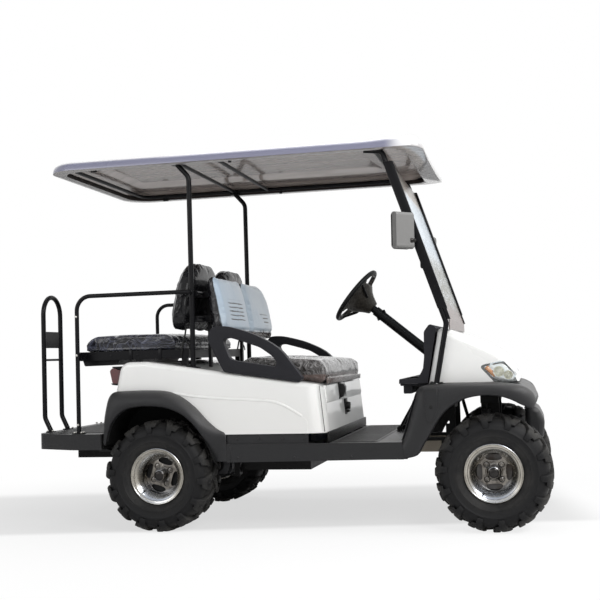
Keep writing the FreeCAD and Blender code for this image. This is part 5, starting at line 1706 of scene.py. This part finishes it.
@dataclass
class Sills:
    """Trim along the body's foot: closing strip, bolts, rocker joints, fender pockets."""

    def build(self) -> None:
        """Make the trim."""
        form = Form.block((376, -601.2, 344), (381, -598, 428), 0.8)
        form.plus(Form.block((372, -600.8, 344), (375, -598, 428), 0.8))
        for bolt_x, z in ((414, 362), (700, 362), (980, 364)):
            form.plus(Form.bar((bolt_x, -603.5, z), (bolt_x, -598, z), 5, 6.5, 16, 1.2))
        for bolt_x in (409, 520, 640, 752):
            form.plus(Form.bar((bolt_x, -597.5, 453), (bolt_x, -588, 453), 5.5, 6.5, 6, 1))
        pocket = Form.panel([(1337, 682, 8), (1406, 682, 8), (1402, 590, 30), (1386, 538, 20),
                             (1368, 520, 12), (1352, 520, 12), (1340, 560, 20)], -612.0, -606, 1.6)
        pocket = pocket.minus(Form.panel([(1344, 674, 6), (1399, 674, 6), (1395, 590, 26),
                                          (1380, 543, 16), (1366, 528, 8), (1354, 528, 8),
                                          (1347, 562, 16)], -620, -610.6))
        form.plus(pocket).tinted(0)
        dots = Form.bar((1372, -612.2, 594), (1372, -609, 594), 9, 9, 24, 0.6)
        dots.plus(Form.bar((1372, -613.4, 594), (1372, -609, 594), 4.2, 4.8, 14, 0.8))
        form.plus(dots.tinted(1)).both_sides().piece(
            "sill_trim", (Kit.CHARCOAL, Kit.GRIP), "buggy", slot="trim_charcoal")


@dataclass
class Steering:
    """Horn boss of the steering wheel and the clamp of its column."""

    centre: Point = (889.0, 250.0, 1186.0)
    axis: Point = (-0.766044, 0.0, 0.642788)

    def along(self) -> Matrix:
        """Stand of a form turned about Y on the column's line."""
        return Matrix.Translation(self.centre) @ Vector((0, 1, 0)).rotation_difference(
            Vector(self.axis)).to_matrix().to_4x4()

    def build(self) -> None:
        """Make the boss and the clamp."""
        boss = Form.turned([(0, -2), (40, -2.5), (100, -4), (146, -6), (152, -9), (151, -13),
                            (120, -24), (92, -42), (70, -62), (56, -82), (46, -100), (40, -112),
                            (36, -120), (0, -120)], 72)
        slots = Form()
        for low, high in ((92, 142), (-138, -85)):
            slots.plus(Form.block((-104, -90, low), (64, 20, high), 6), turned_by(40))
        boss = boss.minus(slots).rounded(1.6, 2, 40)
        pad = Form.turned([(0, 0), (30, -0.8), (50, -3), (56, -6), (57, -10), (57, -16)], 64)
        boss.plus(pad).place(self.along()).piece("horn_boss", Kit.HORN, "steering",
                                                 slot="trim_charcoal")
        clamp = Form()
        for at in (-176, -186):
            ring = Form.turned([(27, at - 4), (31, at - 4), (31, at + 4), (27, at + 4),
                                (27, at - 4)], 40)
            clamp.plus(ring)
        clamp.plus(Form.bar((0, -181, 26), (0, -181, 44), 7, 5.5, 20, 1.5))
        clamp.plus(Form.bar((-10, -181, -36), (10, -181, -36), 6, 6, 6, 1))
        clamp.place(self.along()).piece("column_clamp", Kit.TUBE, "buggy", slot="tube_black")


@dataclass
class WheelArches:
    """Rear flares and front fenders: soft skins drawn from the arch's edge up to the body."""

    flare: tuple = (
        ((-265, 432), (-289, 452)), ((-251, 489), (-281, 560)), ((-229, 540), (-270, 620)),
        ((-193, 585), (-256, 672)), ((-144, 614), (-226, 700)), ((-75, 625), (-150, 705)),
        ((6, 624), (-30, 705)), ((74, 612), (58, 697)), ((141, 583), (128, 670)),
        ((198, 536), (200, 616)), ((236, 484), (262, 549)), ((264, 432), (312, 506)),
        ((282, 390), (352, 481)), ((292, 368), (356, 430)), ((302, 346), (356, 346)))
    fender: tuple = (
        ((1240, 351), (1226, 436)), ((1300, 368), (1248, 500)), ((1329, 414), (1266, 556)),
        ((1362, 464), (1284, 618)), ((1398, 522), (1301, 668)), ((1431, 565), (1330, 693)),
        ((1474, 600), (1417, 700)), ((1535, 630), (1517, 703.5)), ((1612, 643), (1616, 703.5)),
        ((1688, 638), (1702, 700)), ((1743, 621), (1786, 688)), ((1783, 600), (1834, 664)),
        ((1806, 589), (1854, 636)), ((1822, 581), (1860, 612)), ((1832, 576), (1852, 588)))
    brow: tuple = ((1690, 699), (1742, 697), (1786, 689), (1822, 672), (1846, 650), (1860, 624),
                   (1862, 606), (1853, 588), (1834, 575), (1800, 570))
    wall: float = 3.0
    flank: float = 601.0
    well_y: float = 386.0

    def smooth(self, pairs: Sequence[tuple[Point, Point]], share: float,
               steps: int = 4) -> list[tuple[float, float, float]]:
        """Places on a smooth line between the arch and the body.

        Args:
            pairs: (x, z) on the arch and on the body's edge.
            share: how far up from the arch, 0 to 1.
            steps: places for each pair.

        Returns:
            X, z and how far along, 0 to 1.
        """
        line = [Vector(a).lerp(Vector(b), share) for a, b in pairs]
        line = [2 * line[0] - line[1], *line, 2 * line[-1] - line[-2]]
        spots = []
        for k in range(1, len(line) - 2):
            a, b, c, d = line[k - 1:k + 3]
            for i in range(steps + (k == len(line) - 3)):
                t = i / steps
                spot = 0.5 * (2 * b + (c - a) * t + (2 * a - 5 * b + 4 * c - d) * t * t
                              + (3 * b - a - 3 * c + d) * t ** 3)
                spots.append((spot.x, spot.y, (k - 1 + t) / (len(line) - 3)))
        return spots

    def skin(self, pairs: Sequence[tuple[Point, Point]], rows: Sequence[tuple[float, float]],
             way: Callable[[float, float, float, float], Point], thick: float) -> Form:
        """Loft one skin.

        Args:
            pairs: (x, z) on the arch and on the body's edge.
            rows: (share of the way up, y) of each row.
            way: where x, y, z and the place along go.
            thick: the skin's wall.

        Returns:
            The skin.
        """
        return Form.lofted([[way(x, y, z, along) for x, z, along in self.smooth(pairs, share)]
                            for share, y in rows]).closed().walled(thick, 1)

    def build(self) -> None:
        """Make both pairs and the liners."""
        self.flares()
        self.liners()
        self.fenders()

    def flares(self) -> None:
        """Rear flares, which close in on the body at both their ends."""
        def flare_way(x: float, y: float, z: float, along: float) -> Point:
            """Bring a place nearer to the body towards the ends."""
            out = 1.0 - 0.90 * eased(part_way(along, 0.62, 0.92))
            back = 1.0 - 0.35 * part_way(along, 0.16, 0.0)
            return x, self.flank + (y - self.flank) * out * back, z

        rows = ((0.0, 622), (0.0, 645), (0.03, 653), (0.09, 658), (0.22, 659.4), (0.42, 657),
                (0.62, 650), (0.78, 640), (0.90, 628), (0.97, 616), (1.0, 603), (1.0, 597))
        self.skin(self.flare, rows, flare_way, self.wall).tinted(0).both_sides().piece(
            "rear_flare_skins", Kit.CHARCOAL, "buggy", ("rear_fender_flares",), 60)

    def liners(self) -> None:
        """Dark wells over the rear wheels, closed on their inner side."""
        arch = self.smooth(self.flare, 0.06)
        liner = Form.lofted([[(x, y, z) for x, z, _ in arch] for y in (640, 560, 470, self.well_y)])
        liner.bm.faces.new([v for v in liner.bm.verts if abs(v.co.y - self.well_y) < TOUCH])
        bmesh.ops.recalc_face_normals(liner.bm, faces=[*liner.bm.faces])
        bmesh.ops.solidify(liner.bm, geom=[*liner.bm.faces], thickness=2.0)
        liner.both_sides().piece("wheel_liners", Kit.LINER, "buggy", slot="trim_charcoal")

    def fenders(self) -> None:
        """Front fenders, and the nose's brow between them."""
        def fender_way(x: float, y: float, z: float, along: float) -> Point:
            """Turn a place in round the front corner, and pull the foot's inner side out."""
            turn = max(0.0, (x - 1745.0) / 115.0)
            deep = y if y > 560 else y + (585 - y) * part_way(along, 0.34, 0.24)
            return x, deep - 46.0 * turn * turn * (y - 380) / 230, z

        rows = ((0.0, 566), (0.0, 596), (0.03, 604), (0.10, 608.5), (0.30, 609.6),
                (0.55, 608.4), (0.74, 603), (0.87, 594), (0.95, 583), (0.99, 570), (1.0, 552),
                (1.0, 500), (1.0, 446))
        fenders = self.skin(self.fender, rows, fender_way, self.wall).tinted(0)
        nose = Form.lofted([[(x + 8 * (1 - y / 446) * part_way(x, 1740, 1820), y, z)
                             for x, z in self.brow] for y in (440, 400, 330, 240, 120, 0)])
        fenders.plus(nose.closed().walled(self.wall, 2, above=600)).both_sides().piece(
            "front_fender_skins", Kit.CHARCOAL, "buggy", ("front_fenders",), 60)


@dataclass
class BodySide:
    """Swage line along the flanks."""

    swage: tuple = ((84, 688), (150, 674), (285, 659), (420, 650), (536, 643), (600, 636),
                    (650, 618), (700, 590), (742, 562))
    bead: float = 7.0
    flank: float = 598.8

    def build(self) -> None:
        """Make the line on each flank."""
        bead = Form.pipe([(x, 0, z) for x, z in self.swage], self.bead, 8, 6)
        bead.bent(lambda v: (v.x, v.y * 0.6, v.z)).moved(0, self.flank, 0)
        bead.both_sides().piece("body_swage", Kit.WHITE, "buggy", slot="body_white")


@dataclass
class Treads:
    """Ribbed rubber on the cabin floor and the rear footrest, and the bolts of the grab rails.

    A field of ribs is (count, first y, pitch, half width, rear x, front x, foot z).
    """

    cabin: tuple = (26, -545, 43.6, 9, 896, 1092, 431.6)
    deck: tuple = (24, -520, 45.2, 10, -622, -320, 491.6)
    rise: float = 1.6

    def build(self) -> None:
        """Make the ribs and the bolts."""
        ribs = Form()
        for count, first, pitch, half, x0, x1, z in (self.cabin, self.deck):
            for y in (first + pitch * k for k in range(count)):
                ribs.plus(Form.block((x0, y - half, z), (x1, y + half, z + self.rise), 0.7, 1))
        ribs.piece("tread_ribs", Kit.GRIP, "buggy", slot="trim_charcoal")
        bolts = Form()
        for z in (892, 536, 1090):
            bolts.plus(Form.bar((-433, -599, z), (-433, -592, z), 5.5, 7.5, 18, 1.6))
        for xs, ys in (((-452, -414), (-573, -597)), ((-680, -652), (-436, -194))):
            for x, y in ((x, y) for x in xs for y in ys):
                bolts.plus(Form.bar((x, y, 493), (x, y, 501), 6.2, 6.2, 6, 1))
        bolts.both_sides().piece("rail_bolts", Kit.BOLT, "buggy", slot="frame_steel")


@dataclass
class Lamps:
    """Insides of the headlights and bezels of the tail lights."""

    def build(self) -> None:
        """Make the lamps' parts."""
        back = Form.panel([(1618, 777, 10), (1668, 714, 20), (1758, 710, 6), (1760, 738, 8),
                           (1710, 792, 16)], -486, -483, 1).tinted(0)
        bulb = Form.turned([(0, -16), (4, -15), (6, -10), (6, -2)], 20).tinted(2)
        for x, z, r in ((1690, 752, 25), (1734, 735, 21)):
            bowl = Form.turned([(3, -2), (r * 0.45, -4), (r * 0.8, -10), (r, -19), (r + 2, -19),
                                (r + 2, -2), (3, -2)], 32).tinted(0)
            for part in (bowl, bulb):
                back.plus(part, Matrix.Translation((x, -484, z)))
        amber = Form.bar((1630, -489, 776), (1672, -489, 730), 11, 9, 20, 3)
        amber.bent(lambda v: (v.x, -489 + (v.y + 489) * 0.7, v.z))
        back.plus(amber.tinted(1))
        back.both_sides().piece("headlight_insides", (Kit.CHROME, Kit.AMBER, Kit.BULB), "buggy",
                                slot="lamp_clear")
        bezel = Form()
        for frame in ([(-224, 732, 6), (-258, 736, 10), (-258, 744, 4), (-224, 742, 4)],
                      [(-210, 818, 4), (-252, 822, 6), (-252, 829, 4), (-206, 828, 4)]):
            bezel.plus(Form.panel(frame, -568, -468, 2))
        bezel.both_sides().piece("tail_light_bezels", Kit.GRIP, "buggy", slot="trim_charcoal")


# --- wheels -----------------------------------------------------------------------------------
@dataclass
class Corner:
    """One wheel: a knobby balloon tyre on a deep-lipped alloy rim."""

    end: str
    side: str
    x: float
    y: float
    radius: float = 277.0
    half: float = 131.0
    pitches: int = 28
    lip: float = 106.0
    disc: float = 27.0
    cap: float = 77.5
    nut_circle: float = 49.6
    first_window: float = 0.0

    def tyre(self) -> Form:
        """Carcass with shoulder lugs on both sides and a staggered centre row.

        Returns:
            The tyre round the Y axis, its outer side to +Y.
        """
        flank = [(128, 98.5), (139.5, 98.5), (143, 101), (146, 106), (150, 108), (153, 112),
                 (162, 117), (172, 121.5), (174, 124), (177, 124), (179, 123.5), (190, 126.5),
                 (203, 127.6), (205, 129.4), (208, 129.4), (210, 127.6), (222, 125.5),
                 (234, 120), (246, 111), (255, 99), (260, 82), (262.5, 60), (263.5, 30)]
        ring = Form.turned([*flank, (264, 0), *((r, -h) for r, h in reversed(flank))], 112)
        long_lug = [(277, 60), (276.6, 84), (271.5, 104), (262, 117), (249, 126.5), (234, 130.6),
                    (218, 130.8), (214, 126), (236, 117), (250, 104), (257, 84), (260, 60)]
        short_lug = [(277, 66), (276.2, 86), (270.5, 106), (259.5, 119.5), (247, 128), (243, 123),
                     (251, 108), (258, 88), (260, 66)]
        centre_lug = [(276.8, -4), (277, 20), (277, 44), (260, 44), (260, 20), (260, -4)]
        pitch = 360.0 / self.pitches
        for kind, wide, slant, height in ((long_lug, 7.4, 5.0, 60), (short_lug, 6.4, -3.0, 66)):
            lug = Form.wedge(kind, wide, 2).rounded(2.2, 1, 25).bent(
                lambda v, k=slant, h=height: turned_by(k * (v.y - h) / 60, 3) @ v)
            offset = 0.0 if kind is long_lug else pitch
            for k in range(self.pitches // 2):
                ring.plus(lug, turned_by(2 * pitch * k + offset))
                ring.plus(lug, turned_by(2 * pitch * k + offset + pitch / 2) @ ACROSS)
        middle = Form.wedge(centre_lug, 6.6, 2).rounded(2.2, 1, 25).bent(
            lambda v: turned_by(9.0 * v.y / 44, 3) @ v)
        for k in range(self.pitches):
            turn = turned_by(pitch * (k + 0.5))
            ring.plus(middle, turn if k % 2 else turn @ ACROSS)
        return ring

    def rim(self) -> Form:
        """Barrel with its stepped lip, the windowed disc, nuts, plain cap and valve.

        Returns:
            The rim round the Y axis, its outer side to +Y.
        """
        lip, disc = self.lip, self.disc
        barrel = Form.turned([
            (127, -99), (134, -99.5), (138.7, -100.5), (138.7, -105.5), (134, -105.8), (122, -100),
            (120, -80), (105, -40), (96, disc - 9), (91, disc - 9), (90, disc + 2),
            (91, disc + 5), (91.5, lip - 52), (93, lip - 46), (96.5, lip - 41), (104, lip - 29),
            (111, lip - 19), (116, lip - 14), (120, lip - 11.5), (122, lip - 10), (123.5, lip - 6.5),
            (126, lip - 5), (130.5, lip - 4.5), (132.5, lip - 3.2), (134, lip - 0.8),
            (136.5, lip), (138.8, lip - 1.5), (138.8, lip - 6), (133, lip - 7),
            (127.5, lip - 8), (126, lip - 20), (102, lip - 50), (101, disc - 12), (109, -42),
            (127, -82), (127, -99)], 96).tinted(0)
        face = Form.turned([(14, disc - 12), (91, disc - 12), (91, disc - 3), (87, disc - 1.5),
                            (82, disc + 1), (70, disc + 2.5), (58, disc + 4), (42, disc + 4.5),
                            (38, disc + 9), (36, disc + 9), (34, disc + 3), (14, disc + 3),
                            (14, disc - 12)], 96)
        windows, circle = Form(), self.nut_circle
        turns = [90 * k + self.first_window for k in range(4)]
        for turn in turns:
            hole = Form.bar((0, -30, 0), (0, 30, 0), 14.5, 18.5, 40)
            hole.place(Matrix.Diagonal((2.25, 1, 1, 1))).bent(
                lambda v: (v.x, v.y, v.z - v.x * v.x / 260.0)).moved(0, disc - 6, 72.5)
            windows.plus(hole, turned_by(turn))
            seat = Form.bar((0, disc - 6, circle), (0, disc + 9, circle), 10, 17.5, 28)
            windows.plus(seat, turned_by(turn + 45))
        face = face.minus(windows).rounded(1.6, 2, 40)
        wheel = barrel.plus(face.tinted(3))
        for turn in turns:
            nut = Form.bar((0, disc - 6, circle), (0, disc + 9, circle), 9.6, None, 6, 1.0)
            nut.plus(Form.bar((0, disc - 6, circle), (0, disc - 1, circle), 12, 10.8, 28, 0.6))
            nut.plus(Form.bar((0, disc + 8.5, circle), (0, disc + 14, circle), 6.4, 4.6, 20,
                              1.2))
            wheel.plus(nut.tinted(3), turned_by(turn + 45))
        top = self.cap
        cap = Form.turned([(0, top), (12, top - 0.5), (19, top - 2), (22, top - 4.5),
                           (23, top - 9), (23, top - 14)], 48)
        ring = Form.turned([(22.5, top - 14), (22.5, top - 5.5), (24.5, top - 3), (27, top - 4.5),
                            (28, top - 12), (29, top - 30), (31, disc + 6), (35, disc + 1)], 48)
        wheel.plus(cap.tinted(1)).plus(ring.tinted(3))
        valve = Form.bar((108, lip - 24, 0), (110, lip - 4, 0), 3.8, 2.8, 14, 0.6)
        valve.plus(Form.bar((107, lip - 28, 0), (108.5, lip - 19, 0), 5.8, 4.6, 16, 0.8))
        return wheel.plus(valve.tinted(2), turned_by(self.first_window + 118))

    def build(self) -> None:
        """Make both pieces and ride them on the wheel."""
        place = Matrix.Translation((self.x, self.y, self.radius))
        if self.side == "right":
            place = place @ ACROSS
        tag = f"{self.end}_{self.side}"
        self.tyre().place(place).piece(f"knobby_tyre_{tag}", Kit.TYRE, f"wheel_{tag}",
                                       (f"tyre_{tag}",), 38)
        self.rim().place(place).piece(
            f"alloy_wheel_{tag}", (Kit.ALLOY, Kit.CAP, Kit.GRIP, Kit.DISC), f"wheel_{tag}",
            (f"rim_{tag}",), 30)


# --- studio and viewpoint -----------------------------------------------------------------------
@dataclass
class Viewpoint:
    """Camera beside the buggy's right flank, a little ahead of its middle."""

    place: Point = (1.259337, -5.5513, 0.8574)
    yaw: float = 12.658
    pitch: float = -3.052
    roll: float = -1.758
    lens: float = 62.304
    sensor: float = 36.0

    def build(self) -> None:
        """Create the camera and make it the scene's."""
        yaw, pitch, roll = (math.radians(a) for a in (self.yaw, self.pitch, self.roll))
        ahead = Vector((-math.sin(yaw) * math.cos(pitch), math.cos(yaw) * math.cos(pitch),
                        -math.sin(pitch)))
        right = Vector((math.cos(yaw), math.sin(yaw), 0.0))
        up = right.cross(ahead)
        side = right * math.cos(roll) + up * math.sin(roll)
        top = up * math.cos(roll) - right * math.sin(roll)
        data = bpy.data.cameras.new("viewpoint")
        data.lens, data.sensor_width = self.lens, self.sensor
        camera = added("viewpoint", data)
        camera.matrix_world = Matrix.Translation(self.place) @ Matrix(
            (side, top, -ahead)).transposed().to_4x4()
        bpy.context.scene.camera = camera


@dataclass
class Studio:
    """Pale floor, white surroundings and soft lamps."""

    floor_half: float = 30.0
    ambient: float = 0.40
    shadow_band_y: tuple[float, float] = (-0.42, 0.92)
    shadow_band_turn: float = -10.9
    floor_white: Colour = (0.92, 0.92, 0.92)
    # grey of the painted shadow on the floor under the buggy
    floor_painted_shadow: Colour = (0.80, 0.80, 0.80)
    seen_white: Colour = (1.0, 1.0, 1.0)
    seen_painted_shadow: Colour = (0.82, 0.82, 0.82)
    overhead: Colour = (0.42, 0.43, 0.45)

    def build(self) -> None:
        """Create the floor, the world and the lamps."""
        self.floor()
        self.world()
        self.lamp("key", (3.6, -4.6, 4.4), (0.3, 0.0, 0.7), (2.6, 2.0), 190)
        self.lamp("front", (4.6, -1.0, 4.2), (0.5, -0.1, 0.8), (2.6, 2.0), 150)
        self.lamp("fill", (-3.4, -4.6, 2.6), (-0.3, 0.0, 0.8), (3.0, 2.2), 52)
        self.lamp("top", (0.0, 0.4, 5.2), (0.0, 0.0, 0.6), (3.6, 3.0), 95)

    def floor(self) -> None:
        """White floor with a painted soft grey shadow under the buggy, where the wheels stand."""
        bm = bmesh.new()
        bmesh.ops.create_grid(bm, x_segments=1, y_segments=1, size=self.floor_half)
        mesh = bpy.data.meshes.new("floor")
        bm.to_mesh(mesh)
        bm.free()
        floor = added("floor", mesh)
        material = bpy.data.materials.new("floor_white")
        graph = tree_of(material)
        x, y, _ = graph.axes(graph.here(turn=(0, 0, math.radians(self.shadow_band_turn))))
        low, high = self.shadow_band_y
        # painted shadow: soft grey strip across the floor under the buggy, which the wheels stand on
        band = y.fade(low - 0.10, low + 0.02) * y.fade(high + 0.30, high - 0.02)
        band = band * x.fade(1.62, 1.30)
        near = graph.node("VectorMath", {"operation": "LENGTH"}, {0: graph.here((0.8, 1, 1))}, 1)
        matt = graph.node("BsdfDiffuse", {}, {0: graph.mix(self.floor_white, self.floor_painted_shadow,
                                                           band)})
        glow = graph.node("Emission", {}, {0: graph.mix(self.seen_white, self.seen_painted_shadow, band)})
        ray = graph.node("LightPath", output="Is Camera Ray")
        seen = ray * near.fade(1.0, 2.6).spread(0.80, 1.0)
        graph.output(graph.node("MixShader", {}, {0: seen, 1: matt, 2: glow}))
        mesh.materials.append(material)

    def world(self) -> None:
        """White to the eye, to glass and to gloss; plainer as a lamp."""
        world = bpy.data.worlds.new("studio")
        bpy.context.scene.world = world
        graph = tree_of(world)
        _, _, up = graph.axes(graph.node("TexCoord", output="Generated"))
        ceiling = graph.mix(self.seen_white, self.overhead, up.fade(0.45, 0.95))
        path = graph.node("LightPath", output="Is Camera Ray")
        outputs = path.socket.node.outputs
        seen = path.highest(Wire(graph, outputs["Is Glossy Ray"])).highest(
            Wire(graph, outputs["Is Transmission Ray"]))
        strength = seen.spread(self.ambient, 1.0)
        graph.output(graph.node("Background", {}, {0: ceiling, 1: strength}), "OutputWorld")

    def lamp(self, name: str, place: Point, target: Point, size: tuple[float, float],
             power: float) -> None:
        """One rectangular soft lamp.

        Args:
            name: lamp's name.
            place: where it hangs.
            target: what it points at.
            size: its width and height.
            power: watts.
        """
        data = bpy.data.lights.new(name, "AREA")
        data.shape, data.energy = "RECTANGLE", power
        data.size, data.size_y = size
        lamp = added(name, data)
        lamp.location = place
        lamp.rotation_euler = (Vector(target) - Vector(place)).to_track_quat("-Z", "Y").to_euler()


def main() -> None:
    """Build the classes in order."""
    logging.basicConfig(level=logging.INFO, format="%(name)s: %(message)s")
    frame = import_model()
    bpy.context.scene.view_settings.view_transform = "Standard"
    Viewpoint().build()
    Studio().build()
    CadDressing().dress(frame["nodes"])
    for part in (Seats(), Canopy(), Screen(), Mirrors(), Armrests(), SeatBase(), Sills(),
                 Steering(), WheelArches(), BodySide(), Treads(), Lamps()):
        part.build()
    for end, x, half in (("front", 1650.0, 475.0), ("rear", 0.0, 525.0)):
        for side, sign in (("left", 1), ("right", -1)):
            Corner(end, side, x, sign * half, first_window=0.0 if end == "front" else 17.0).build()


if __name__ == "__main__":
    main()
